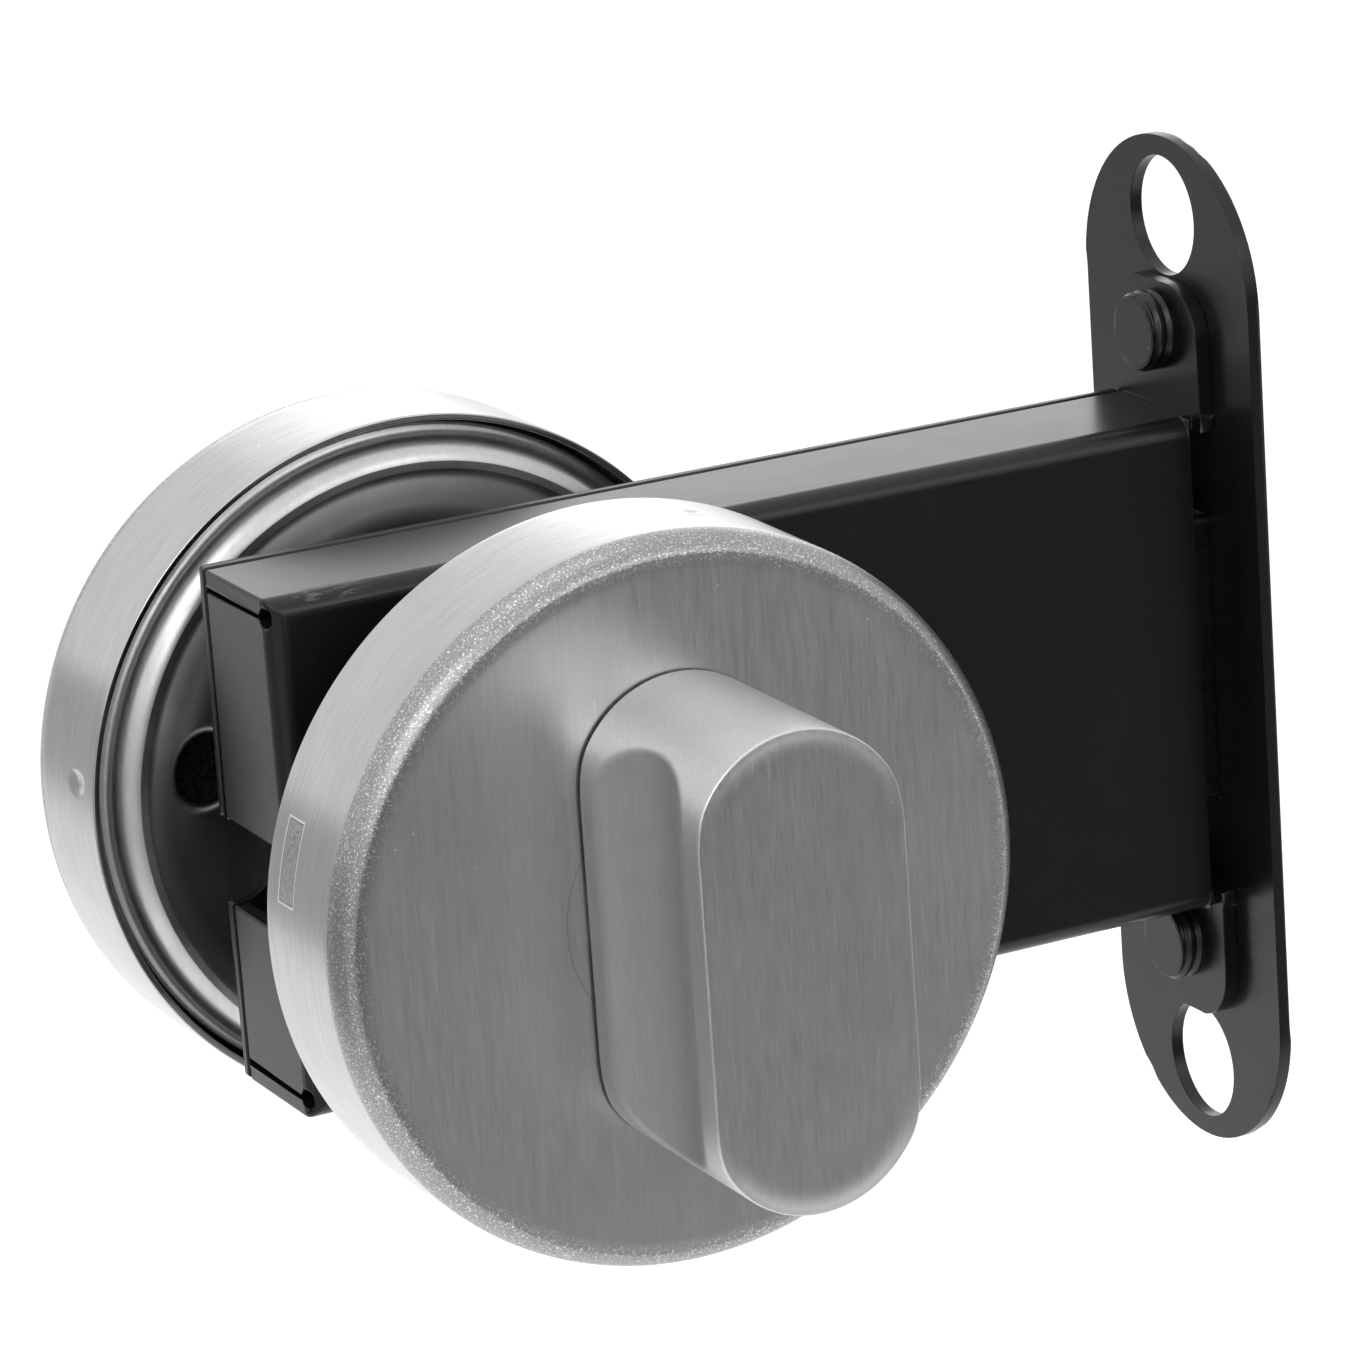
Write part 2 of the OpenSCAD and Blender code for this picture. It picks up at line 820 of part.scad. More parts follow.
// Flanged bush that sits in a backing plate
module bush() {
    seat = plate_dish + plate_sheet;
    rotate_extrude()
        translate([shank_d / 2 + running, 0])
            union() {
                translate([0, bush_start])
                    square([(bush_d - shank_d) / 2 - running, seat - bush_start]);
                translate([0, seat])
                    square([(bush_flange_d - shank_d) / 2 - running, bush_flange_t]);
            }
}

// Round shank with a circlip groove, from the rim plane up to a height
module shank(top) {
    difference() {
        translate([0, 0, shank_start])
            cylinder(h = top - shank_start, d = shank_d);
        translate([0, 0, clip_start - snug])
            difference() {
                cylinder(h = clip_t + 2 * snug, d = shank_d + over);
                translate([0, 0, -over])
                    cylinder(h = clip_t + 2 * over, d = shank_d - 2 * groove_depth);
            }
    }
}

// Square socket and the grub screw's hole, to be cut from a shank
module shank_cuts() {
    socket_w = spindle_w + 2 * snug;
    translate([-socket_w / 2, -socket_w / 2, 0])
        cube([socket_w, socket_w, socket_depth]);
    translate([0, 0, grub_z()])
        rotate([0, 90, 0])
            cylinder(h = shank_d, d = grub_d + 2 * snug);
}

function grub_z() = plate_dish + plate_sheet + bush_flange_t + grub_d / 2 + loose;

// Grub screw between the shank's surface and the spindle
module grub_screw() {
    translate([spindle_w / 2, 0, grub_z()])
        rotate([0, 90, 0])
            difference() {
                cylinder(h = (shank_d - spindle_w) / 2 - loose, d = grub_d);
                translate([0, 0, (shank_d - spindle_w) / 2 - loose - grub_d / 3])
                    cylinder(h = grub_d, d = grub_d / 2, $fn = 6);
            }
}

// Circlip with an open mouth
module circlip() {
    translate([0, 0, clip_start])
        linear_extrude(clip_t)
            difference() {
                circle(d = clip_d);
                circle(d = shank_d - 2 * groove_depth + 2 * snug);
                polygon([
                    [0, 0],
                    [clip_d, clip_d * tan(clip_mouth / 2)],
                    [clip_d, -clip_d * tan(clip_mouth / 2)]
                ]);
            }
}

module front_rose_cover() {
    color(satin_steel)
        front_side()
            rose_cover(front_dimple_turn);
}

module front_rose_plate() {
    color(bright_steel)
        front_side()
            rose_plate();
}

module front_bush() {
    color(nylon)
        front_side()
            bush();
}

// Oblong outline of the thumb turn
module turn_outline() {
    end_place = turn_l / 2 - turn_end_r;
    intersection() {
        square([turn_w, turn_l], center = true);
        union() {
            square([2 * turn_end_r, 2 * end_place], center = true);
            for (side = [-1, 1])
                translate([0, side * end_place])
                    circle(turn_end_r);
        }
    }
}

// Thumb turn: oblong body with finger scallops on both sides, and its shank
module thumb_turn() {
    color(satin_steel)
        front_side()
            difference() {
                union() {
                    shank(turn_base + over);
                    translate([0, 0, turn_base])
                        linear_extrude(turn_depth)
                            turn_outline();
                }
                for (side = [-1, 1])
                    translate([
                        side * (turn_w / 2 - scallop_in + scallop_r),
                        turn_l,
                        rose_depth + scallop_mid
                    ])
                        rotate([90, 0, 0])
                            cylinder(h = 2 * turn_l, r = scallop_r);
                shank_cuts();
            }
}

// Thin washer on a shank, under its head
module washer() {
    translate([0, 0, turn_base - washer_t])
        difference() {
            cylinder(h = washer_t, d = washer_d);
            translate([0, 0, -over])
                cylinder(h = washer_t + 2 * over, r = shank_d / 2 + snug);
        }
}

module turn_washer() {
    color(nylon)
        front_side()
            washer();
}

module turn_circlip() {
    color(dull_steel)
        front_side()
            circlip();
}

module turn_grub_screw() {
    color(dull_steel)
        front_side()
            grub_screw();
}

// Part of a ring between two radii that spans an angle about the upright
module arc_band(inner, outer, angle) {
    reach = 2 * outer;
    intersection() {
        difference() {
            circle(outer);
            circle(inner);
        }
        polygon([
            [0, 0],
            [reach * sin(angle / 2), reach * cos(angle / 2)],
            [-reach * sin(angle / 2), reach * cos(angle / 2)]
        ]);
    }
}

// Rear rose cover, with the indicator window above the release boss
module rear_rose_cover() {
    color(satin_steel)
        rear_side()
            difference() {
                rose_cover(rear_dimple_turn);
                translate([0, 0, face_in - over])
                    linear_extrude(rose_wall + 2 * over)
                        arc_band(window_in, window_out, window_angle);
            }
}

module rear_rose_plate() {
    color(bright_steel)
        rear_side()
            rose_plate();
}

module rear_bush() {
    color(nylon)
        rear_side()
            bush();
}

// Release boss with a coin slot, on a shank like the thumb turn's
module release_boss() {
    color(satin_steel)
        rear_side()
            difference() {
                union() {
                    shank(turn_base + over);
                    translate([0, 0, turn_base])
                        cylinder(h = boss_h - boss_chamfer, d = boss_d);
                    translate([0, 0, turn_base + boss_h - boss_chamfer])
                        cylinder(h = boss_chamfer, d1 = boss_d, d2 = boss_d - 2 * boss_chamfer);
                }
                translate([0, 0, turn_base + boss_h - coin_depth])
                    linear_extrude(coin_depth + over)
                        union() {
                            square([coin_w, coin_l - coin_w], center = true);
                            for (side = [-1, 1])
                                translate([0, side * (coin_l - coin_w) / 2])
                                    circle(coin_w / 2);
                        }
                shank_cuts();
            }
}

module release_washer() {
    color(nylon)
        rear_side()
            washer();
}

module release_circlip() {
    color(dull_steel)
        rear_side()
            circlip();
}

module release_grub_screw() {
    color(dull_steel)
        rear_side()
            grub_screw();
}

// Indicator disc pressed onto the release boss's shank
module indicator_disc() {
    color([0.2, 0.55, 0.25])
        rear_side()
            difference() {
                union() {
                    translate([0, 0, disc_top - disc_t])
                        cylinder(h = disc_t, r = rose_d / 2 - disc_inset);
                    translate([0, 0, disc_top - disc_t - disc_collar_h])
                        cylinder(h = disc_collar_h, d = disc_collar_d);
                }
                cylinder(h = rose_depth, r = shank_d / 2 + snug);
            }
}

// Clear lens: a flange behind the cover's face and a land that fills the window
module window_lens() {
    flange_angle = window_angle + 2 * asin(lens_lap / window_in);
    land_angle = window_angle - 2 * asin(snug / window_in);
    color([0.85, 0.9, 0.9, 0.4])
        rear_side()
            union() {
                translate([0, 0, lens_low])
                    linear_extrude(lens_t)
                        arc_band(window_in - lens_lap, window_out + lens_lap, flange_angle);
                translate([0, 0, face_in - lens_t / 2])
                    linear_extrude(rose_wall + lens_t / 2)
                        arc_band(window_in + snug, window_out - snug, land_angle);
            }
}

case_body();
case_cover();
cover_studs();
forend();
forend_screws();
bolt_head();
bolt_tail();
tail_rivets();
guide_tube();
follower();
crank_pin();
detent_spring();
spindle();
front_rose_cover();
front_rose_plate();
front_bush();
thumb_turn();
turn_washer();
turn_circlip();
turn_grub_screw();
rear_rose_cover();
rear_rose_plate();
rear_bush();
release_boss();
release_washer();
release_circlip();
release_grub_screw();
indicator_disc();
window_lens();
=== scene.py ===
"""Looks of a toilet indicator bolt: roses, plates, thumb turn, screw threads, finishes and studio.

Everything is in metres in the CAD frame: +X out of the door's edge, +Y through the door, +Z up.
"""

import math
import bmesh
import bpy
import numpy as np
from bpy.props import FloatProperty, FloatVectorProperty, PointerProperty
from mathutils import Euler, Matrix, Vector


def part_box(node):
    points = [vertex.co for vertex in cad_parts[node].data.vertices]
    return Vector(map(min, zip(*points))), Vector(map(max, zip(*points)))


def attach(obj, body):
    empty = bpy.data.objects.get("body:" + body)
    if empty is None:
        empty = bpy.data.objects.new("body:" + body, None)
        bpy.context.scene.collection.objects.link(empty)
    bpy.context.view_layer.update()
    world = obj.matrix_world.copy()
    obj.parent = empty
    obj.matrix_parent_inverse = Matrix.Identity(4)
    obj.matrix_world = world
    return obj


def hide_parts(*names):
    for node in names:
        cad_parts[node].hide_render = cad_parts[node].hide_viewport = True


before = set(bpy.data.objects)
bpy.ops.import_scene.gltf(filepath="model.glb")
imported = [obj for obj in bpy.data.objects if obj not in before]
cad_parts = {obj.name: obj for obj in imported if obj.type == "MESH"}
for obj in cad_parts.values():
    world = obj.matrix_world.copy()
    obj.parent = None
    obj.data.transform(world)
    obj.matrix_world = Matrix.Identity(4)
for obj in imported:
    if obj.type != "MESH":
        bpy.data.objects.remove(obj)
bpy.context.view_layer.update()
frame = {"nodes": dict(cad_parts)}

bl_info = {
    "name": "Toilet indicator bolt",
    "version": (1, 0, 0),
    "blender": (4, 5, 0),
    "location": "View3D > Sidebar > Lock",
    "description": "Dresses a toilet indicator bolt and sets up its studio",
    "category": "Object",
}

MM = 0.001
ROSE_LOW, ROSE_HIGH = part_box("front_rose_cover")
TURN_LOW, TURN_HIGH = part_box("thumb_turn")
PLATE_LOW, PLATE_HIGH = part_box("front_rose_plate")
DISC_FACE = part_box("indicator_disc")[1].y
SPINDLE_X = (ROSE_LOW.x + ROSE_HIGH.x) / 2
SPINDLE_Z = (ROSE_LOW.z + ROSE_HIGH.z) / 2
RIM_Y = -ROSE_HIGH.y

# Middle of the scuff on the case's rear corner
SCUFF = (-72.3 * MM, -5.4 * MM, 18.9 * MM)
# Stippled panel on the front rose's wall: along the wall and above the rim
PANEL_MIDDLE = (6.27 * MM, 3.1 * MM)
PANEL_HALF = (3.0 * MM, 1.2 * MM)
# Radius of the ring that the turn has worn into the front rose
WEAR_RADIUS = 9.2 * MM
# Where the painted shade on the plates' dish starts, and the width over which it deepens
DISH_SHADE_RADIUS = 22.6 * MM
DISH_SHADE_WIDTH = 2.8 * MM
# Rows of the turn's straight sides, and points along the way to each cap's middle
TURN_ROWS = 105
CAP_POINTS = 21
# Depth of the marks in a bump
FINE = 0.02 * MM


# Settings


def length(name, description, value):
    return FloatProperty(
        name=name, description=description, default=value, unit="LENGTH", precision=5
    )


def angle(name, description, degrees):
    return FloatProperty(
        name=name, description=description, default=math.radians(degrees), subtype="ANGLE"
    )


def tint(name, description, value):
    return FloatVectorProperty(
        name=name, description=description, default=value, subtype="COLOR", size=3, min=0, max=1
    )


class RoseSettings(bpy.types.PropertyGroup):
    """Sizes of both rose covers."""

    radius: length("Radius", "Outer radius of the cover", (ROSE_HIGH.x - ROSE_LOW.x) / 2)
    depth: length("Depth", "Height of the face above the rim", ROSE_HIGH.y - ROSE_LOW.y)
    fillet: length("Fillet", "Length of the rounded corner along the wall", 2.4 * MM)
    across: length("Fillet width", "Width of the rounded corner on the face", 1.6 * MM)
    wall: length("Wall", "Sheet thickness", 0.5 * MM)
    bore: length("Bore", "Radius of the hole for the shank", 5.9 * MM)
    dimple_ball: length("Dimple ball", "Radius of the ball that pressed the dimples", 2.4 * MM)
    dimple_depth: length("Dimple depth", "Depth of the snap dimples", 0.22 * MM)
    front_inset: length("Front inset", "Distance of the front dimples from the rim", 4.6 * MM)
    rear_inset: length("Rear inset", "Distance of the rear dimples from the rim", 3.2 * MM)
    front_dimple: angle("Front dimple turn", "Turn of the front dimples from level", 77)
    rear_dimple: angle("Rear dimple turn", "Turn of the rear dimples from level", -6)
    window_in: length("Window inner radius", "Inner radius of the indicator window", 12.4 * MM)
    window_out: length("Window outer radius", "Outer radius of the indicator window", 18.4 * MM)
    window_angle: angle("Window angle", "Angle that the window spans", 76)


class PlateSettings(bpy.types.PropertyGroup):
    """Sizes of both backing plates."""

    radius: length(
        "Radius",
        "Outer radius of the skirt, a little past the solid's",
        (PLATE_HIGH.x - PLATE_LOW.x) / 2 + 0.15 * MM,
    )
    sheet: length("Sheet", "Sheet thickness", 1 * MM)
    skirt: length("Skirt", "Depth of the skirt", 3 * MM)
    flange: length("Flange", "Width of the flange at the edge", 0.9 * MM)
    flange_depth: length("Flange depth", "Depth of the flange below the rim", 1.35 * MM)
    bead: length("Bead", "How far the pressed ring stands out of the rim", 0.7 * MM)
    bead_out: length("Bead outer radius", "Where the ring's outer slope starts", 23.5 * MM)
    bead_in: length("Bead inner radius", "Where the slope to the dish starts", 21.9 * MM)
    roll: length("Roll", "Radius of the ring's outer shoulder", 2.1 * MM)
    dish_radius: length("Dish radius", "Where the dish's slope meets its floor", 17.2 * MM)
    dish: length("Dish", "Depth of the dish", 2.1 * MM)
    bore: length("Bore", "Radius of the hole for the bush", 8.05 * MM)
    fixing_radius: length("Fixing radius", "Radius of the fixing holes' circle", 16.3 * MM)
    fixing_bore: length("Fixing bore", "Radius of the fixing holes", 2.65 * MM)
    fixing_turn: angle("Fixing turn", "Turn of the fixing holes from level", -7)
    lip: length("Lip", "Width of the rolled lip of the fixing holes", 1.0 * MM)


class TurnSettings(bpy.types.PropertyGroup):
    """Sizes of the thumb turn."""

    width: length("Width", "Width of the turn", TURN_HIGH.x - TURN_LOW.x)
    reach: length("Length", "Length of the turn", 33.6 * MM)
    end_radius: length("End radius", "Radius of the arched ends", 8 * MM)
    base: length("Base", "Height of the turn's underside above the rim", 12.3 * MM)
    top: length("Top", "Height of the turn's end face above the rim", -TURN_LOW.y - RIM_Y)
    scallop_radius: length("Scallop radius", "Radius of the finger scallops", 11.7 * MM)
    scallop_depth: length("Scallop depth", "Depth of the finger scallops", 1.9 * MM)
    scallop_height: length("Scallop height", "Height of the scallops' middle", 20.7 * MM)
    crease: length("Crease", "Softness of the edge between scallop and side", 0.35 * MM)
    edge: length("Edge", "Radius of the edge round the end face", 0.15 * MM)
    shoulder: length("Shoulder", "Softness of the change from flank to arched end", 1.1 * MM)
    crown: length("Crown", "How far the end face falls away at its ends", 0.25 * MM)
    crown_width: length("Crown width", "Width of the band in which it falls", 1.8 * MM)
    shank: length("Shank", "Radius of the shank", 5.5 * MM)
    groove: length("Groove", "Depth of the shank's groove for its clip", 0.8 * MM)


class ScrewSettings(bpy.types.PropertyGroup):
    """Sizes of the threads that show behind the lugs."""

    radius: length("Radius", "Radius of the thread's root", 2.77 * MM)
    thread: length("Thread", "Depth of the thread", 0.24 * MM)
    pitch: length("Pitch", "Pitch of the thread", 0.9 * MM)
    start: length("Start", "Distance of the lugs' faces behind the origin", 2.2 * MM)
    end: length("End", "Distance of the screws' ends behind the origin", 3.93 * MM)
    upper: length("Upper", "Height of the upper screw", 24.6 * MM)
    lower: length("Lower", "Height of the lower screw", -22.9 * MM)


class FinishSettings(bpy.types.PropertyGroup):
    """Colours of the finishes."""

    satin: tint("Satin steel", "Brushed satin stainless steel", (0.56, 0.56, 0.555))
    plate: tint("Plate steel", "Pressed stainless steel", (0.58, 0.58, 0.58))
    ground: tint("Ground steel", "Bright ground steel", (0.58, 0.58, 0.6))
    plain: tint("Plain steel", "Plain pressed steel", (0.4, 0.41, 0.43))
    oiled: tint("Oiled steel", "Dark oiled spring steel", (0.05, 0.05, 0.055))
    paint: tint("Paint", "Black paint", (0.006, 0.006, 0.0064))
    nylon: tint("Nylon", "Natural nylon", (0.78, 0.76, 0.69))
    free: tint("Free", "Enamel that shows when unlocked", (0.05, 0.36, 0.1))
    engaged: tint("Engaged", "Enamel that shows when locked", (0.55, 0.02, 0.02))


class StageSettings(bpy.types.PropertyGroup):
    """Camera, floor and plain light."""

    place: FloatVectorProperty(
        name="Camera",
        description="Place of the camera",
        default=(-0.243829, -0.411708, 0.140237),
        subtype="TRANSLATION",
        unit="LENGTH",
    )
    aim: FloatVectorProperty(
        name="Camera turn",
        description="Turn of the camera",
        default=tuple(math.radians(a) for a in (73.5274, 3.8849, -27.1791)),
        subtype="EULER",
    )
    lens: FloatProperty(
        name="Lens", description="Focal length on a 36 mm sensor", default=174.232, unit="CAMERA"
    )
    floor: length("Floor", "Height of the floor", -0.4)
    surround: FloatProperty(
        name="Surround",
        description="Strength of the plain light all round",
        default=0.75,
        min=0,
        max=10,
    )


# Meshes


def grid_quads(rows, cols, wrap_rows=True, wrap_cols=True):
    """Four-sided faces between the neighbours of a grid of points that are numbered row by row.

    A wrapped direction joins its last line to its first one.
    """
    r, c = np.meshgrid(
        np.arange(rows if wrap_rows else rows - 1),
        np.arange(cols if wrap_cols else cols - 1),
        indexing="ij",
    )
    r1, c1 = (r + 1) % rows, (c + 1) % cols
    corners = [r * cols + c, r1 * cols + c, r1 * cols + c1, r * cols + c1]
    return np.stack(corners, -1).reshape(-1, 4)


def rounded(corners, spacing, closed=True, steps=7):
    """A path through corners given as (across, up, radius), with an arc at each one.

    An arc touches both sides of its corner at the radius times the tangent of half the corner's
    turn. Straight parts get a point about every `spacing`. Corners of radius 0 stay as they are.
    """
    table = np.asarray(corners, float)
    points, radii = table[:, :2], table[:, 2]
    before, after = np.roll(points, 1, 0), np.roll(points, -1, 0)
    path = []
    for k, (p, r) in enumerate(zip(points, radii)):
        if r == 0 or (not closed and k in (0, len(points) - 1)):
            path.append(p[None])
            continue
        a = (before[k] - p) / np.linalg.norm(before[k] - p)
        b = (after[k] - p) / np.linalg.norm(after[k] - p)
        half = math.acos(np.clip(a @ b, -1, 1)) / 2
        middle = p + (a + b) / np.linalg.norm(a + b) * r / math.sin(half)
        first, last = p + a * r / math.tan(half), p + b * r / math.tan(half)
        turn = np.linspace(0, 1, steps)[:, None] * (math.pi - 2 * half)
        u, v = (first - middle) / r, (last - middle) / r
        side = (v - u * (u @ v)) / np.linalg.norm(v - u * (u @ v))
        path.append(middle + r * (np.cos(turn) * u + np.sin(turn) * side))
    path = np.concatenate(path)
    ends = np.roll(path, -1, 0) if closed else path[1:]
    starts = path if closed else path[:-1]
    pieces = [
        s + (e - s) * np.arange(n)[:, None] / n
        for s, e in zip(starts, ends)
        for n in [max(1, round(float(np.linalg.norm(e - s)) / spacing))]
    ]
    return np.concatenate(pieces if closed else [*pieces, path[-1:]])


def circle(count):
    """Angles that divide a full turn evenly."""
    return np.linspace(0, 2 * math.pi, count + 1)[:-1]


def carried_round(profile, angles):
    """Profile points (radius, height) carried round a circle, one row for each angle.

    Each point is (radius times cosine, radius times sine, height).
    """
    r, h = profile.T
    heights = np.broadcast_to(h, (len(angles), len(h)))
    return np.stack([np.cos(angles)[:, None] * r, np.sin(angles)[:, None] * r, heights], -1)


def on_rose(points, side):
    """Rose points (right, up, height above the rim) in the lock's frame.

    The side is -1 for the front rose, whose height runs towards -Y, and 1 for the rear one.
    """
    right, up, height = points.reshape(-1, 3).T
    return np.stack([SPINDLE_X + right, side * (RIM_Y + height), SPINDLE_Z + up], -1)


def make_piece(name, shells, body, nodes=(), sharp=30, marks=None):
    """An object of closed shells, each a pair of points and quads, that rides on a body.

    Doubles are merged, the faces turned outwards, and edges sharper than `sharp` degrees kept.
    The marks are named values for each point, kept as attributes.
    """
    points = [p.reshape(-1, 3) for p, _ in shells]
    starts = np.cumsum([0] + [len(p) for p in points])
    faces = np.concatenate([quads + start for (_, quads), start in zip(shells, starts)])
    mesh = bpy.data.meshes.new(name)
    mesh.from_pydata(np.concatenate(points).tolist(), [], faces.tolist())
    for mark, values in (marks or {}).items():
        mesh.attributes.new(mark, "FLOAT", "POINT").data.foreach_set(
            "value", np.asarray(values, np.float32).ravel()
        )
    shell = bmesh.new()
    shell.from_mesh(mesh)
    bmesh.ops.remove_doubles(shell, verts=shell.verts, dist=1e-7)
    bmesh.ops.recalc_face_normals(shell, faces=shell.faces)
    shell.to_mesh(mesh)
    shell.free()
    mesh.polygons.foreach_set("use_smooth", np.ones(len(mesh.polygons), bool))
    mesh.set_sharp_from_angle(angle=math.radians(sharp))
    piece = bpy.data.objects.new(name, mesh)
    bpy.context.scene.collection.objects.link(piece)
    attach(piece, body)
    if nodes:
        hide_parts(*nodes)
    return piece


def dress(piece, material):
    """Puts one material on a piece or CAD node."""
    piece.data.materials.clear()
    piece.data.materials.append(material)


def soften(node, width, segments=2, wide=False):
    """Rounds the sharp edges of a CAD node, whose mesh stays as it is under the modifiers.

    Where a wide edge crosses the small faces of a fold, flat faces are joined first, and the
    width is measured along the neighbouring edges, so that nothing sticks out.
    """
    node.modifiers.new("Weld", "WELD").merge_threshold = 1e-6
    if wide:
        flat = node.modifiers.new("Flat faces", "DECIMATE")
        flat.decimate_type = "DISSOLVE"
        flat.angle_limit = math.radians(0.5)
    bevel = node.modifiers.new("Rounded edges", "BEVEL")
    bevel.width = width
    bevel.segments = segments
    bevel.limit_method = "ANGLE"
    bevel.angle_limit = math.radians(32)
    bevel.use_clamp_overlap = not wide
    bevel.loop_slide = False
    if wide:
        bevel.offset_type = "ABSOLUTE"
    node.modifiers.new("Even shading", "WEIGHTED_NORMAL").weight = 50


# Nodes


def feed(tree, plug, value):
    """Links a socket to an input, or gives the input a plain value."""
    if isinstance(value, bpy.types.NodeSocket):
        tree.links.new(value, plug)
    else:
        plug.default_value = value


def add(tree, kind, **values):
    """A node with its settings and inputs by name, with _ for a space; in_0 is the first input."""
    made = tree.nodes.new(kind)
    for key, value in values.items():
        if hasattr(made, key):
            setattr(made, key, value)
        else:
            name = int(key[3:]) if key.startswith("in_") else key.replace("_", " ")
            feed(tree, made.inputs[name], value)
    return made


def math_node(tree, operation, *values, clamp=False):
    """The result of a Math node."""
    made = add(tree, "ShaderNodeMath", operation=operation, use_clamp=clamp)
    for plug, value in zip(made.inputs, values):
        feed(tree, plug, value)
    return made.outputs[0]


def times(tree, a, b):
    return math_node(tree, "MULTIPLY", a, b)


def apart(tree, a, b):
    """The distance between two numbers."""
    return math_node(tree, "ABSOLUTE", math_node(tree, "SUBTRACT", a, b))


def vector_math(tree, operation, a, b=(0, 0, 0)):
    """The outputs of a Vector Math node."""
    made = add(tree, "ShaderNodeVectorMath", operation=operation, in_0=a, in_1=b)
    return made.outputs


def spread(tree, value, low, high):
    """A value moved smoothly from a range to 0 to 1."""
    made = add(
        tree,
        "ShaderNodeMapRange",
        interpolation_type="SMOOTHSTEP",
        Value=value,
        From_Min=low,
        From_Max=high,
    )
    return made.outputs[0]


def noise(tree, place, scale, detail, roughness, **more):
    """The value of a Noise Texture."""
    made = add(
        tree,
        "ShaderNodeTexNoise",
        **more,
        Vector=place,
        Scale=scale,
        Detail=detail,
        Roughness=roughness,
    )
    return made.outputs["Fac"]


def scaled(colour, factor):
    return tuple(min(1.0, c * factor) for c in colour)


def grey(level):
    return (level, level, level)


def blend_colour(tree, share, first, second):
    """A colour between two, as rgb values or sockets."""
    made = add(tree, "ShaderNodeMix", data_type="RGBA", in_0=share)
    for number, value in ((6, first), (7, second)):
        feed(tree, made.inputs[number], (*value, 1) if isinstance(value, tuple) else value)
    return made.outputs[2]


def mix_value(tree, share, first, second):
    """A number between two."""
    return add(tree, "ShaderNodeMix", in_0=share, in_2=first, in_3=second).outputs[0]


def attribute(tree, name):
    return add(tree, "ShaderNodeAttribute", attribute_name=name).outputs["Fac"]


def object_place(tree):
    return tree.nodes.new("ShaderNodeTexCoord").outputs["Object"]


# Groups that the materials share


def new_group(name, inputs, outputs):
    """An empty shader node group: its tree, its inputs and the sockets of its output.

    The inputs are default values by name, and the outputs are names of numbers.
    """
    tree = bpy.data.node_groups.new(name, "ShaderNodeTree")
    for label, value in inputs.items():
        kind = "NodeSocketVector" if isinstance(value, tuple) else "NodeSocketFloat"
        socket = tree.interface.new_socket(label, in_out="INPUT", socket_type=kind)
        socket.default_value = value
    for label in outputs:
        tree.interface.new_socket(label, in_out="OUTPUT", socket_type="NodeSocketFloat")
    given = tree.nodes.new("NodeGroupInput").outputs
    return tree, given, tree.nodes.new("NodeGroupOutput").inputs


def brush_group():
    """Fine parallel streaks of a brushed surface, with a few longer and deeper scratches."""
    tree, given, result = new_group(
        "Brush marks",
        {"Vector": (0, 0, 0), "Stretch": (1, 1, 1), "Seed": 0.0},
        ("Streaks", "Scratches"),
    )
    place = vector_math(tree, "MULTIPLY", given["Vector"], given["Stretch"])[0]
    seed = given["Seed"]
    other = math_node(tree, "ADD", seed, 7.3)
    fine = noise(tree, place, 1.0, 3.0, 0.65, noise_dimensions="4D", W=seed)
    broad = noise(tree, place, 0.19, 2.0, 0.5, noise_dimensions="4D", W=seed)
    rare = noise(tree, place, 0.45, 1.0, 0.4, noise_dimensions="4D", W=other)
    streaks = math_node(tree, "ADD", times(tree, fine, 0.8), times(tree, broad, 0.2))
    tree.links.new(spread(tree, streaks, 0.3, 0.7), result["Streaks"])
    tree.links.new(spread(tree, rare, 0.69, 0.78), result["Scratches"])
    return tree


def grain_group():
    """Fine even grain, a mask of painted glints in it, and sparse specks."""
    tree, given, result = new_group(
        "Grain",
        {"Vector": (0, 0, 0), "Fineness": 5000.0, "Speck share": 0.02},
        ("Grain", "Glints", "Specks"),
    )
    grain = noise(tree, given["Vector"], given["Fineness"], 2.0, 0.6)
    tree.links.new(spread(tree, grain, 0.33, 0.67), result["Grain"])
    tree.links.new(spread(tree, grain, 0.58, 0.68), result["Glints"])
    cells = add(
        tree,
        "ShaderNodeTexVoronoi",
        feature="F1",
        Vector=given["Vector"],
        Scale=times(tree, given["Fineness"], 0.11),
    ).outputs
    draw = add(tree, "ShaderNodeSeparateColor", Color=cells["Color"]).outputs[0]
    chosen = math_node(tree, "LESS_THAN", draw, given["Speck share"])
    small = spread(tree, cells["Distance"], 0.075, 0.03)
    tree.links.new(times(tree, chosen, small), result["Specks"])
    return tree


def smudge_group():
    """Wide soft marks from handling, from 0 on clean metal to 1."""
    tree, given, result = new_group(
        "Handling marks", {"Vector": (0, 0, 0), "Size": 70.0}, ("Marks",)
    )
    soft = noise(tree, given["Vector"], given["Size"], 4.0, 0.55, Distortion=0.6)
    tree.links.new(spread(tree, soft, 0.42, 0.72), result["Marks"])
    return tree


GROUPS = {"Brush marks": brush_group, "Grain": grain_group, "Handling marks": smudge_group}


def group_node(tree, name, **values):
    """A placed node group with its inputs. The group is built when it is first used."""
    group = bpy.data.node_groups.get(name) or GROUPS[name]()
    return add(tree, "ShaderNodeGroup", node_tree=group, **values).outputs


def smudges(tree, place, size):
    return group_node(tree, "Handling marks", Vector=place, Size=size)["Marks"]


# Materials


def new_material(name, **constants):
    """A material with one Principled shader; returns it with its tree and the shader."""
    material = bpy.data.materials.new(name)
    material.use_nodes = True
    tree = material.node_tree
    shader = tree.nodes["Principled BSDF"]
    for key, value in constants.items():
        shader.inputs[key.replace("_", " ")].default_value = value
    return material, tree, shader


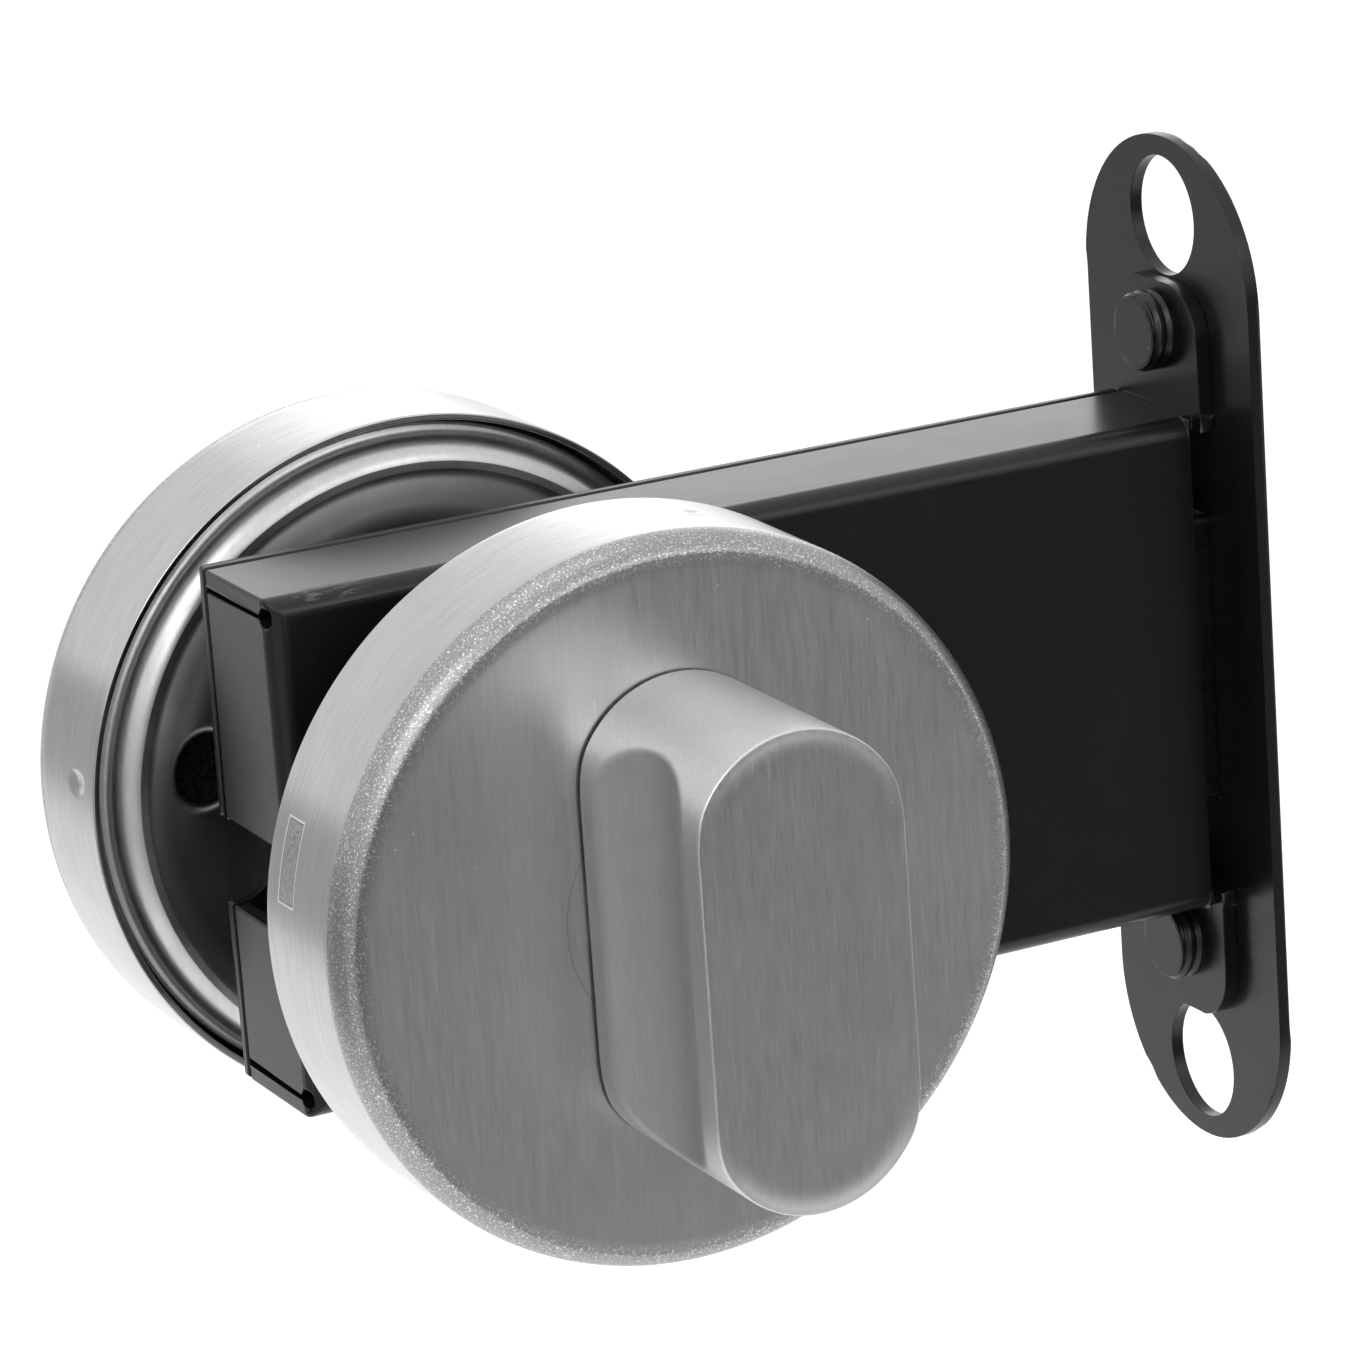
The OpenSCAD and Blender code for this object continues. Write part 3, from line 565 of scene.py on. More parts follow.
def coat(tree, shader, colour, roughness, height, strength, distance=FINE):
    """Feeds a colour, a roughness and a bump into the shader."""
    bump = add(tree, "ShaderNodeBump", Height=height, Strength=strength, Distance=distance)
    tree.links.new(colour, shader.inputs["Base Color"])
    tree.links.new(roughness, shader.inputs["Roughness"])
    tree.links.new(bump.outputs[0], shader.inputs["Normal"])


def satin_steel(
    name, colour, seed, marked=True, corner_roughness=0.33, contrast=1.0, corner_painted_light=1.0
):
    """Satin stainless steel with upright brush marks.

    The attribute `wall` changes them for marks round the axis, and `corner` for sparkling grain
    of the given contrast, with painted glints, and a colour scaled by `corner_painted_light`,
    which paints shade where it is below 1 and light where it is above 1. The wall's colour is
    darker, as painted shade. Other attributes place the marks of `panel_marks`.
    """
    material, tree, shader = new_material(name, Metallic=1.0)
    place = object_place(tree)
    wall = attribute(tree, "wall") if marked else 0.0
    corner = attribute(tree, "corner") if marked else 0.0
    upright = group_node(tree, "Brush marks", Vector=place, Stretch=(9000, 9000, 420), Seed=seed)
    around = group_node(
        tree, "Brush marks", Vector=place, Stretch=(260, 5200, 260), Seed=seed + 3
    )
    grain = group_node(tree, "Grain", Vector=place, Fineness=6500.0, Speck_share=0.05)
    smudge = smudges(tree, place, 85.0)
    streaks = mix_value(tree, wall, upright["Streaks"], around["Streaks"])
    faint = blend_colour(tree, streaks, scaled(colour, 0.93), scaled(colour, 1.07))
    # Painted light and shade: the corner's colour is scaled by corner_painted_light
    rich = blend_colour(
        tree,
        grain["Grain"],
        scaled(colour, corner_painted_light * (1 - 0.36 * contrast)),
        scaled(colour, corner_painted_light * (1 + 0.06 * contrast)),
    )
    # Painted highlights: near-white glints blended into the colour, wherever the light is
    rich = blend_colour(tree, times(tree, grain["Glints"], contrast), rich, grey(0.98))
    tone = blend_colour(tree, corner, faint, rich)
    # Painted shade: the wall's colour runs from 0.82 to 1.0 of the steel, darker than the face's
    turned = blend_colour(tree, streaks, scaled(colour, 0.82), scaled(colour, 1.0))
    tone = blend_colour(tree, wall, tone, turned)
    tone = blend_colour(tree, times(tree, smudge, 0.16), tone, scaled(colour, 0.7))
    off_wall = math_node(tree, "SUBTRACT", 0.25, wall)
    scratches = math_node(tree, "MULTIPLY", upright["Scratches"], off_wall, clamp=True)
    tone = blend_colour(tree, scratches, tone, scaled(colour, 1.4))
    tone = blend_colour(tree, times(tree, grain["Specks"], 0.8), tone, grey(0.95))
    height = mix_value(tree, corner, streaks, grain["Grain"])
    if marked:
        dots, frame_highlight, shade, ring = panel_marks(tree)
        dark = scaled(colour, 0.45)
        dent = times(tree, dots, grain["Grain"])
        tone = blend_colour(tree, times(tree, dent, 0.9), tone, dark)
        # Painted shade just inside the panel's frame, then a painted highlight along the frame
        tone = blend_colour(tree, shade, tone, dark)
        tone = blend_colour(tree, frame_highlight, tone, scaled(colour, 1.65))
        tone = blend_colour(tree, times(tree, ring, 0.5), tone, dark)
        height = math_node(tree, "ADD", height, times(tree, dent, 3.0))
    roughness = mix_value(tree, streaks, 0.31, 0.37)
    roughness = mix_value(tree, corner, roughness, corner_roughness)
    roughness = mix_value(tree, wall, roughness, 0.21)
    roughness = math_node(tree, "ADD", roughness, times(tree, smudge, 0.04))
    depth = mix_value(tree, corner, 0.12, 0.12 + 0.28 * contrast)
    coat(tree, shader, tone, roughness, times(tree, height, depth), 1.0)
    return material


def panel_marks(tree):
    """Masks of the panel's dots, the painted highlight along its frame and the painted shade just
    inside it, and the ring worn by the turn.

    The attributes are `around`, the distance along the wall, `above_rim` and `from_axis`.
    """
    around, above = attribute(tree, "around"), attribute(tree, "above_rim")
    over = math_node(
        tree,
        "MAXIMUM",
        math_node(tree, "SUBTRACT", apart(tree, around, PANEL_MIDDLE[0]), PANEL_HALF[0]),
        math_node(tree, "SUBTRACT", apart(tree, above, PANEL_MIDDLE[1]), PANEL_HALF[1]),
    )
    dots = spread(tree, over, -0.02 * MM, -0.1 * MM)
    frame_highlight = spread(tree, math_node(tree, "ABSOLUTE", over), 0.1 * MM, 0.04 * MM)
    shade = spread(tree, apart(tree, over, -0.14 * MM), 0.09 * MM, 0.02 * MM)
    off = apart(tree, attribute(tree, "from_axis"), WEAR_RADIUS)
    on_face = spread(tree, above, 11 * MM, 11.5 * MM)
    ring = times(tree, spread(tree, off, 0.07 * MM, 0.02 * MM), on_face)
    return dots, frame_highlight, shade, ring


def plate_steel(name, colour):
    """Pressed stainless steel with soft rolling marks and a little dust, and painted shade that
    darkens its colour where the attribute `dish` is 1."""
    material, tree, shader = new_material(name, Metallic=1.0)
    place = object_place(tree)
    marks = group_node(tree, "Brush marks", Vector=place, Stretch=(2500, 2500, 500), Seed=5.0)
    smudge = smudges(tree, place, 130.0)
    grain = group_node(tree, "Grain", Vector=place, Fineness=4200.0, Speck_share=0.03)
    tone = blend_colour(tree, marks["Streaks"], scaled(colour, 0.94), scaled(colour, 1.06))
    tone = blend_colour(tree, times(tree, smudge, 0.2), tone, scaled(colour, 0.75))
    # Painted shade: the colour falls to 0.4 of the steel on the dish's slope and floor
    tone = blend_colour(tree, attribute(tree, "dish"), tone, scaled(colour, 0.4))
    tone = blend_colour(tree, grain["Specks"], tone, grey(0.8))
    coat(tree, shader, tone, mix_value(tree, smudge, 0.32, 0.4), marks["Streaks"], 0.15)
    return material


def ground_steel(name, colour, stretch, low, high):
    """Ground steel with the marks of the wheel along one direction."""
    material, tree, shader = new_material(name, Metallic=1.0)
    place = object_place(tree)
    streaks = group_node(tree, "Brush marks", Vector=place, Stretch=stretch, Seed=9.0)["Streaks"]
    smudge = smudges(tree, place, 180.0)
    tone = blend_colour(tree, streaks, scaled(colour, 0.86), scaled(colour, 1.12))
    tone = blend_colour(tree, times(tree, smudge, 0.4), tone, scaled(colour, 0.7))
    coat(tree, shader, tone, mix_value(tree, streaks, low, high), streaks, 0.3)
    return material


def black_paint(name, colour):
    """Semi-gloss black paint with a soft orange peel, dust, and a scuff on the case's corner."""
    material, tree, shader = new_material(name, IOR=1.45)
    place = object_place(tree)
    peel = noise(tree, place, 900.0, 2.0, 0.5)
    smudge = smudges(tree, place, 60.0)
    dust = group_node(tree, "Grain", Vector=place, Fineness=4500.0, Speck_share=0.05)
    away = vector_math(tree, "SUBTRACT", place, SCUFF)[0]
    away = vector_math(tree, "MULTIPLY", away, (0.35, 1.0, 1.0))[0]
    distance = vector_math(tree, "LENGTH", away)["Value"]
    lines = group_node(tree, "Brush marks", Vector=place, Stretch=(700, 3500, 3500), Seed=2.0)
    scuff = times(
        tree,
        spread(tree, distance, 1.3 * MM, 0.5 * MM),
        spread(tree, lines["Streaks"], 0.45, 0.75),
    )
    tone = blend_colour(tree, times(tree, smudge, 0.25), colour, scaled(colour, 1.6))
    tone = blend_colour(tree, times(tree, scuff, 0.8), tone, grey(0.12))
    tone = blend_colour(tree, times(tree, dust["Specks"], 0.8), tone, grey(0.16))
    roughness = mix_value(tree, smudge, 0.27, 0.31)
    roughness = math_node(tree, "ADD", roughness, times(tree, scuff, 0.3))
    height = math_node(tree, "ADD", times(tree, peel, 0.5), times(tree, scuff, -0.6))
    coat(tree, shader, tone, roughness, height, 0.2, 0.05 * MM)
    return material


def moulded(name, colour, low, high):
    """Moulded plastic with a fine spark-eroded grain."""
    material, tree, shader = new_material(name, IOR=1.5)
    place = object_place(tree)
    grain = group_node(tree, "Grain", Vector=place, Fineness=3600.0, Speck_share=0.004)["Grain"]
    smudge = smudges(tree, place, 150.0)
    tone = blend_colour(tree, times(tree, smudge, 0.3), colour, scaled(colour, 0.85))
    coat(tree, shader, tone, mix_value(tree, grain, low, high), grain, 0.15)
    return material


def indicator_enamel(name, free, engaged):
    """Enamelled disc: the sector towards -X, which the turn brings up when locked, is red."""
    material, tree, shader = new_material(name, IOR=1.5)
    place = object_place(tree)
    split = add(tree, "ShaderNodeSeparateXYZ", Vector=place).outputs
    back = math_node(tree, "SUBTRACT", SPINDLE_X, split["X"])
    over = math_node(tree, "SUBTRACT", back, apart(tree, split["Z"], SPINDLE_Z))
    red = spread(tree, over, -0.04 * MM, 0.04 * MM)
    grain = group_node(tree, "Grain", Vector=place, Fineness=4000.0, Speck_share=0.008)["Grain"]
    inside = spread(tree, split["Y"], DISC_FACE - 0.05 * MM, DISC_FACE - 0.15 * MM)
    tone = blend_colour(tree, red, free, engaged)
    tone = blend_colour(tree, inside, tone, grey(0.02))
    tone = blend_colour(tree, times(tree, grain, 0.12), tone, grey(0.5))
    coat(tree, shader, tone, mix_value(tree, grain, 0.26, 0.4), grain, 0.1)
    return material


def clear_acrylic(name):
    """Clear acrylic with faint wiping marks."""
    material, tree, shader = new_material(name, IOR=1.49, Transmission_Weight=1.0)
    smudge = smudges(tree, object_place(tree), 200.0)
    tree.links.new(mix_value(tree, smudge, 0.03, 0.12), shader.inputs["Roughness"])
    return material


# Each finish: its maker, its colours in the settings, and the maker's other values
FINISHES = {
    # corner_painted_light paints shade on the rose's fillet (0.7) and light on the turn's arched
    # ends (1.25)
    "Rose steel": (satin_steel, ["satin"], dict(seed=1.0, contrast=0.75, corner_painted_light=0.7)),
    "Turn steel": (
        satin_steel,
        ["satin"],
        dict(seed=4.0, corner_roughness=0.32, contrast=0.3, corner_painted_light=1.25),
    ),
    "Boss steel": (satin_steel, ["satin"], dict(seed=6.0, marked=False)),
    "Plate steel": (plate_steel, ["plate"], {}),
    "Ground steel": (ground_steel, ["ground"], dict(stretch=(5000, 5000, 300), low=0.18, high=0.3)),
    "Plain steel": (ground_steel, ["plain"], dict(stretch=(900, 900, 900), low=0.3, high=0.45)),
    "Oiled steel": (ground_steel, ["oiled"], dict(stretch=(1500, 1500, 1500), low=0.3, high=0.45)),
    "Black paint": (black_paint, ["paint"], {}),
    "Nylon": (moulded, ["nylon"], dict(low=0.4, high=0.55)),
    "Indicator enamel": (indicator_enamel, ["free", "engaged"], {}),
    "Clear acrylic": (clear_acrylic, [], {}),
}


def finish(name):
    """A finish by name, made once."""
    maker, keys, values = FINISHES[name]
    colours = [tuple(getattr(bpy.context.scene.lock_finish, key)) for key in keys]
    return bpy.data.materials.get(name) or maker(name, *colours, **values)


# Shapes


def smooth_least(a, b, softness):
    """The smaller of two values, with a soft change over where they cross.

    Within `softness` of each other the values are mixed, and a small hump is taken off.
    """
    t = np.clip(0.5 + 0.5 * (b - a) / softness, 0, 1)
    return b + (a - b) * t - softness * t * (1 - t)


def cover_profile(rose):
    """The closed outline of the cover's sheet, with a quarter ellipse between wall and face.

    It is drawn with quarter circles, whose distances beyond the fillet's centre are then scaled.
    """
    r, top, low = rose.radius, rose.depth, rose.depth - rose.wall
    inside = r - rose.wall
    profile = rounded(
        [
            (r, 0, 0.12 * MM),
            (r, top, rose.fillet),
            (rose.window_out, top, 0),
            (rose.window_in, top, 0),
            (rose.bore, top, 0.1 * MM),
            (rose.bore, low, 0.1 * MM),
            (rose.window_in, low, 0),
            (rose.window_out, low, 0),
            (inside, low, rose.fillet - rose.wall),
            (inside, 0, 0.12 * MM),
        ],
        0.5 * MM,
        steps=12,
    )
    out, up = (profile - [r - rose.fillet, top - rose.fillet]).T
    inner = np.hypot(out, up) < rose.fillet - rose.wall / 2
    arc = rose.fillet - np.where(inner, rose.wall, 0)
    narrow = r - rose.across + out * (1 - (rose.fillet - rose.across) / arc)
    profile[:, 0] = np.where((out > 0) & (up > 0), narrow, profile[:, 0])
    return profile


def press_dimples(grid, profile, turns, rose, first, inset):
    """Moves points of the wall inwards where a ball sinks into it, at two opposite places.

    They move by the square root of the ball's radius squared less the distance squared, less the
    ball's standing off.
    """
    wall = profile[:, 0] > rose.radius - rose.wall - 0.01 * MM
    for k in (0, 1):
        away = (turns - first - k * math.pi + math.pi) % (2 * math.pi) - math.pi
        distance = np.hypot(away[:, None] * rose.radius, profile[:, 1] - inset)
        sunk = np.sqrt(np.maximum(rose.dimple_ball**2 - distance**2, 0))
        sunk = wall * np.maximum(sunk - (rose.dimple_ball - rose.dimple_depth), 0)
        grid[..., :2] *= (1 - sunk / profile[:, 0])[..., None]


def cut_window(quads, profile, turns, rose, edges):
    """Leaves the window's cells out of face and inside, and closes the sheet with four walls."""
    cols, top, low = len(profile), rose.depth, rose.depth - rose.wall
    a, b, c, d = (
        int(np.argmin(np.hypot(*(profile - corner).T)))
        for corner in (
            (rose.window_out, top),
            (rose.window_in, top),
            (rose.window_in, low),
            (rose.window_out, low),
        )
    )
    i0, i1 = (int(np.argmin(abs(turns - edge))) for edge in edges)
    row, col = np.divmod(np.arange(len(quads)), cols)
    in_turn = (row >= i0) & (row < i1)
    in_radius = ((col >= a) & (col < b)) | ((col >= c) & (col < d))
    i, s = np.arange(i0, i1) * cols, np.arange(b - a)
    walls = [np.stack([i + p, i + cols + p, i + cols + q, i + q], -1) for p, q in ((a, d), (b, c))]
    walls += [
        np.stack([k + a + s, k + a + s + 1, k + d - s - 1, k + d - s], -1)
        for k in (i0 * cols, i1 * cols)
    ]
    return np.concatenate([quads[~(in_turn & in_radius)], *walls])


def cover_shell(rose, side):
    """The cover's profile carried round the axis, with two dimples, and on the rear a window.

    The marks say where the wall and its corner are, and on the front where the panel is.
    """
    rear = side > 0
    dimple = rose.rear_dimple if rear else rose.front_dimple
    half = rose.window_angle / 2
    edges = np.array([math.pi / 2 - half, math.pi / 2 + half])
    near_dimple = np.linspace(-0.08, 0.08, 41)
    profile = cover_profile(rose)
    turns = [circle(360), dimple + near_dimple, dimple + math.pi + near_dimple]
    turns = np.concatenate(turns + [edges] * rear) % (2 * math.pi)
    turns = np.unique(np.round(turns, 6))
    grid = carried_round(profile, turns)
    inset = rose.rear_inset if rear else rose.front_inset
    press_dimples(grid, profile, turns, rose, dimple, inset)
    quads = grid_quads(*grid.shape[:2])
    if rear:
        quads = cut_window(quads, profile, turns, rose, edges)
    radius, height = (np.broadcast_to(part, grid.shape[:2]) for part in profile.T)
    on_wall = np.clip((rose.depth - rose.fillet - height) / (0.1 * MM) + 1, 0, 1)
    near_edge = np.clip((radius - (rose.radius - rose.across)) / (1.2 * MM) + 1, 0, 1)
    marks = {"wall": on_wall, "corner": near_edge**2 * (1 - on_wall), "above_rim": height}
    if not rear:
        around = rose.radius * (math.pi - turns)
        marks.update(around=np.broadcast_to(around[:, None], grid.shape[:2]), from_axis=radius)
    return grid, quads, marks


def plate_profile(plate):
    """The closed outline of the plate's sheet: dish, ring, flange and skirt, and back inside."""
    r, t, dish = plate.radius, plate.sheet, plate.dish
    low, top = plate.flange_depth, -plate.bead
    flange_r = r - plate.flange
    return rounded(
        [
            (plate.bore, dish, 0.1 * MM),
            (plate.dish_radius, dish, 9 * MM),
            (plate.bead_in, top, 2.6 * MM),
            (plate.bead_out, top, plate.roll),
            (flange_r, low, 0.9 * MM),
            (r, low + 0.22 * MM, 0.4 * MM),
            (r, plate.skirt, 0.1 * MM),
            (r - t / 2, plate.skirt, 0.1 * MM),
            (r - t / 2, low + t, 0.1 * MM),
            (flange_r - t / 2, low + t, 0.1 * MM),
            (plate.bead_out - t / 2, top + t, 1.2 * MM),
            (plate.bead_in + t / 2, top + t, 1.6 * MM),
            (plate.dish_radius + t / 2, dish + t, 10 * MM),
            (plate.bore, dish + t, 0.1 * MM),
        ],
        0.32 * MM,
        steps=11,
    )


def lip_profile(plate, lip_r):
    """The closed section of the rolled lip round a fixing hole, just past the dish's sheet."""
    face, back = plate.dish - 0.015 * MM, plate.dish + plate.sheet + 0.05 * MM
    return rounded(
        [
            (plate.fixing_bore, face, 0.85 * MM),
            (lip_r, face, 0),
            (lip_r, back, 0),
            (plate.fixing_bore, back, 0.05 * MM),
        ],
        0.2 * MM,
        steps=14,
    )


def plate_shells(plate):
    """The plate's profile carried round the axis, and a lip round each fixing hole.

    Cells whose middle is inside a hole's lip are left out, on both faces, and the lip, a closed
    ring carried round the hole's own axis and raised with the dish, covers their edge. The mark
    `dish`, the mask of the painted shade, goes from 0 at the ring's outer shoulder to 1 on the
    slope.
    """
    profile = plate_profile(plate)
    grid = carried_round(profile, circle(400))
    quads = grid_quads(*grid.shape[:2])
    flat = grid.reshape(-1, 3)
    face = profile[: np.argmin(profile[:, 1])]
    lip_r = plate.fixing_bore + plate.lip
    lips = []
    for turn in (plate.fixing_turn, plate.fixing_turn + math.pi):
        hole = plate.fixing_radius * np.array([math.cos(turn), math.sin(turn)])
        away = np.linalg.norm(flat[quads].mean(1)[:, :2] - hole, axis=1)
        quads = quads[away > lip_r - 0.2 * MM]
        lip = carried_round(lip_profile(plate, lip_r), circle(64))
        lip[..., :2] += hole
        lip[..., 2] += np.interp(np.hypot(lip[..., 0], lip[..., 1]), *face.T) - plate.dish
        lips.append((lip, grid_quads(*lip.shape[:2])))
    shells = [(grid, quads), *lips]
    radius = np.concatenate([np.hypot(p[..., 0], p[..., 1]).ravel() for p, _ in shells])
    return shells, {"dish": np.clip((DISH_SHADE_RADIUS - radius) / DISH_SHADE_WIDTH, 0, 1)}


def turn_outline(turn):
    """The turn's outline: two arcs of the end radius, kept within the width by a soft limit.

    Returns the points (right, up) and their outward normals, in order round the outline.
    """
    count = 100
    end = turn.reach / 2 - turn.end_radius
    arc = np.linspace(0, math.pi, 2 * count)
    arch = np.stack([np.cos(arc), np.sin(arc)], -1) * turn.end_radius + [0, end]
    side = np.linspace(1, -1, count)[1:-1]
    flank = np.stack([np.full(len(side), -turn.end_radius), side * end], -1)
    points = np.concatenate([arch, flank, -arch, -flank])
    out = np.abs(points[:, 0])
    held = smooth_least(out, turn.width / 2 + turn.shoulder / 6, turn.shoulder)
    held = np.minimum(held, out)
    held *= np.minimum(1, turn.width / 2 / held.max())
    points[:, 0] = np.sign(points[:, 0]) * held
    along = np.roll(points, -1, 0) - np.roll(points, 1, 0)
    normals = np.stack([along[:, 1], -along[:, 0]], -1)
    return points, normals / np.linalg.norm(normals, axis=1)[:, None]


def turn_cap(turn, ring, rise):
    """Rings that shrink from an outline to the turn's middle line, raised by a square curve."""
    end = turn.reach / 2 - turn.end_radius
    shrink = np.linspace(0, 1, CAP_POINTS)[1:, None]
    middle = np.stack([0 * ring[:, 0], np.clip(ring[:, 1], -end, end), ring[:, 2]], -1)
    cap = ring + (middle - ring) * shrink[..., None]
    left = (1 - np.clip(shrink * turn.end_radius / turn.crown_width, 0, 1)) ** 2
    cap[..., 2] += rise * (1 - left)
    return cap


def turn_body(turn):
    """The turn's outline carried up from its underside, with a finger scallop on each side.

    Where a level line crosses a scallop, the distance from the middle plane is at most the
    scallop cylinder's axis distance less the square root of its radius squared less the height
    difference squared. A rounded edge leads to the end face, which falls away at both ends. The
    mark is 0.8 on the arched ends and fades where the sides and scallops begin.
    """
    outline, normals = turn_outline(turn)
    rise = turn.top - turn.base
    end = turn.reach / 2 - turn.end_radius
    lean = np.clip((np.abs(outline[:, 1]) - end) / turn.end_radius, 0, 1)
    drop = turn.crown * np.clip(1.5 * lean, 0, 1)
    bend = np.linspace(0, math.pi / 2, 7)[1:]
    straight = np.linspace(0, rise - turn.edge, TURN_ROWS)
    steps = np.concatenate([straight, rise - turn.edge + turn.edge * np.sin(bend)])
    inset = np.concatenate([0 * straight, turn.edge * (1 - np.cos(bend))])
    heights = turn.base + steps[:, None] * (1 - drop / rise)
    axis = turn.width / 2 - turn.scallop_depth + turn.scallop_radius
    gone = np.maximum(turn.scallop_radius**2 - (heights - turn.scallop_height) ** 2, 0)
    level = outline[None] - normals[None] * inset[:, None, None]
    width = np.abs(level[..., 0])
    side = np.minimum(smooth_least(width, axis - np.sqrt(gone), turn.crease), width)
    grid = np.stack([np.sign(level[..., 0]) * side, level[..., 1], heights], -1)
    below = turn_cap(turn, grid[0], 0 * drop)[::-1]
    whole = np.concatenate([below, grid, turn_cap(turn, grid[-1], drop)])
    first, last = len(below), len(below) + len(grid)
    scooped = np.zeros(whole.shape[:2])
    scooped[first:last] = width - side
    corner = 0.8 * np.clip(lean * 1.8, 0, 1) * (1 - np.clip(scooped / (0.3 * MM), 0, 1))
    corner[last - 3 :] = 0
    return whole, corner


def turn_shank(turn):
    """The shank's profile carried round the axis, with its groove, up into the turn."""
    r, core = turn.shank, turn.shank - turn.groove
    low, high = 0.25 * MM, turn.base + 0.2 * MM
    groove_low, groove_high = 0.65 * MM, 1.5 * MM
    profile = rounded(
        [
            (0, low, 0),
            (r, low, 0.2 * MM),
            (r, groove_low, 0),
            (core, groove_low, 0),
            (core, groove_high, 0),
            (r, groove_high, 0),
            (r, high, 0),
            (0, high, 0),
        ],
        1 * MM,
        closed=False,
    )
    return carried_round(profile, circle(96))


def thread_shell(screw, height):
    """A screw's threaded end: the radius rises and falls along the axis as a triangle wave, one
    pitch for each turn, and the last part tapers to a chamfer and a flat end."""
    turns = circle(72)
    along = np.linspace(0, screw.end - screw.start, 40)
    phase = (along[:, None] / screw.pitch - turns / (2 * math.pi)) % 1
    crest = 1 - np.abs(2 * phase - 1)
    taper = np.clip((along[-1] - along) / (0.45 * MM), 0, 1)[:, None]
    radius = screw.radius + screw.thread * np.clip(crest * 1.5, 0, 1) * taper
    radius -= 0.2 * MM * (1 - taper)
    back = np.broadcast_to(-screw.start - along[:, None], radius.shape)
    rings = np.stack([back, radius * np.cos(turns), radius * np.sin(turns) + height], -1)
    axis = np.array([0, 0, height])
    start = rings[:1] + [0.3 * MM, 0, 0]
    core = axis + (start - axis) * [1, 0, 0]
    closing = [axis + (rings[-1:] - axis) * [1, part, part] for part in (0.75, 0.4, 0)]
    grid = np.concatenate([core, start, rings, *closing])
    return grid, grid_quads(*grid.shape[:2], wrap_rows=False)


# Stage

# Name, place, what it faces, width, height and power
LAMPS = (
    ("Back softbox", (0.4, 0.98, 0.27), (-0.03, 0, 0), 0.72, 0.42, 0.92),
    ("Key softbox", (-0.66, -0.5, 0.68), (-0.05, 0, 0), 0.4, 0.4, 1.3),
    ("Top softbox", (-0.1, 0.3, 1.0), (-0.05, 0, 0), 0.7, 0.6, 0.8),
    ("Fill softbox", (0.22, -0.8, 0.5), (-0.05, 0, 0), 0.5, 0.22, 0.52),
    ("Front softbox", (-0.42, -0.68, 0.3), (-0.05, 0, 0), 0.3, 0.22, 0.42),
)

# Name, place, what it faces, width, height, grey at the top and grey at the bottom
CARDS = (
    ("Front card", (0.08, -0.6, -0.17), (-0.03, 0, 0), 0.95, 0.5, 0.1, 0.48),
    ("Right card", (0.62, 0.12, -0.1), (-0.05, 0, 0), 0.75, 0.5, 0.22, 0.26),
    ("Left front card", (-0.57, -0.4, -0.16), (0, 0, -0.1), 0.66, 0.5, 0.92, 0.94),
    ("Left card", (-0.7, 0.15, -0.16), (0, 0.15, -0.16), 0.7, 0.5, 0.55, 0.55),
    ("Back left card", (-0.7, 1.15, -0.16), (0, 1.15, -0.16), 1.3, 0.5, 0.7, 0.7),
)
# Half the width of the floor
FLOOR_HALF = 3.0
# Numbers of a rectangle's corners, from -1 to 1, in order
CORNERS = ((-1, -1), (1, -1), (1, 1), (-1, 1))


def link(name, data):
    """An object in the scene."""
    made = bpy.data.objects.new(name, data)
    bpy.context.scene.collection.objects.link(made)
    return made


def seen(tree):
    """1 for rays that show the background: from the camera, in reflections and through glass."""
    rays = tree.nodes.new("ShaderNodeLightPath").outputs
    shown = math_node(tree, "MAXIMUM", rays["Is Camera Ray"], rays["Is Glossy Ray"])
    return math_node(tree, "MAXIMUM", shown, rays["Is Transmission Ray"])


def sheet(name, points, material):
    """A flat stage piece through four points."""
    mesh = bpy.data.meshes.new(name)
    mesh.from_pydata(points, [], [(0, 1, 2, 3)])
    made = link(name, mesh)
    dress(made, material)
    return made


def floor(z):
    """A wide pale floor, white to the camera and in reflections, that keeps the shadow."""
    material, tree, shader = new_material("Floor", Roughness=0.9, Specular_IOR_Level=0.0)
    shader.inputs["Base Color"].default_value = (*grey(0.85), 1)
    shader.inputs["Emission Color"].default_value = (1, 1, 1, 1)
    tree.links.new(times(tree, seen(tree), 0.5), shader.inputs["Emission Strength"])
    sheet("Floor", [(x * FLOOR_HALF, y * FLOOR_HALF, z) for x, y in CORNERS], material)


def surround(strength):
    """A plain world, white to the camera, in reflections and through glass."""
    world = bpy.data.worlds.new("Surround")
    bpy.context.scene.world = world
    world.use_nodes = True
    tree = world.node_tree
    tree.nodes.clear()
    level = mix_value(tree, seen(tree), strength, 1.0)
    light = add(tree, "ShaderNodeBackground", Color=(1, 1, 1, 1), Strength=level)
    add(tree, "ShaderNodeOutputWorld", Surface=light.outputs[0])


def towards(place, target):
    return (Vector(target) - Vector(place)).to_track_quat("-Z", "Y")


def softbox(name, place, target, width, height, power):
    """A rectangular area lamp turned towards a point."""
    light = bpy.data.lights.new(name, "AREA")
    light.shape = "RECTANGLE"
    light.size = width
    light.size_y = height
    light.energy = power
    lamp = link(name, light)
    lamp.location = place
    lamp.rotation_euler = towards(place, target).to_euler()


def card(name, place, target, width, height, top, bottom):
    """A plain grey card beside the object, for its reflections only; the camera looks past it."""
    turn = towards(place, target).to_matrix()
    points = [
        Vector(place) + turn @ Vector((x * width / 2, y * height / 2, 0)) for x, y in CORNERS
    ]
    material, tree, shader = new_material(name, Roughness=1.0, Specular_IOR_Level=0.0)
    shade = add(
        tree,
        "ShaderNodeMapRange",
        Value=add(tree, "ShaderNodeSeparateXYZ", Vector=object_place(tree)).outputs["Z"],
        From_Min=min(p.z for p in points),
        From_Max=max(p.z for p in points),
        To_Min=bottom,
        To_Max=top,
    )
    tree.links.new(shade.outputs[0], shader.inputs["Base Color"])
    sheet(name, points, material).visible_camera = False


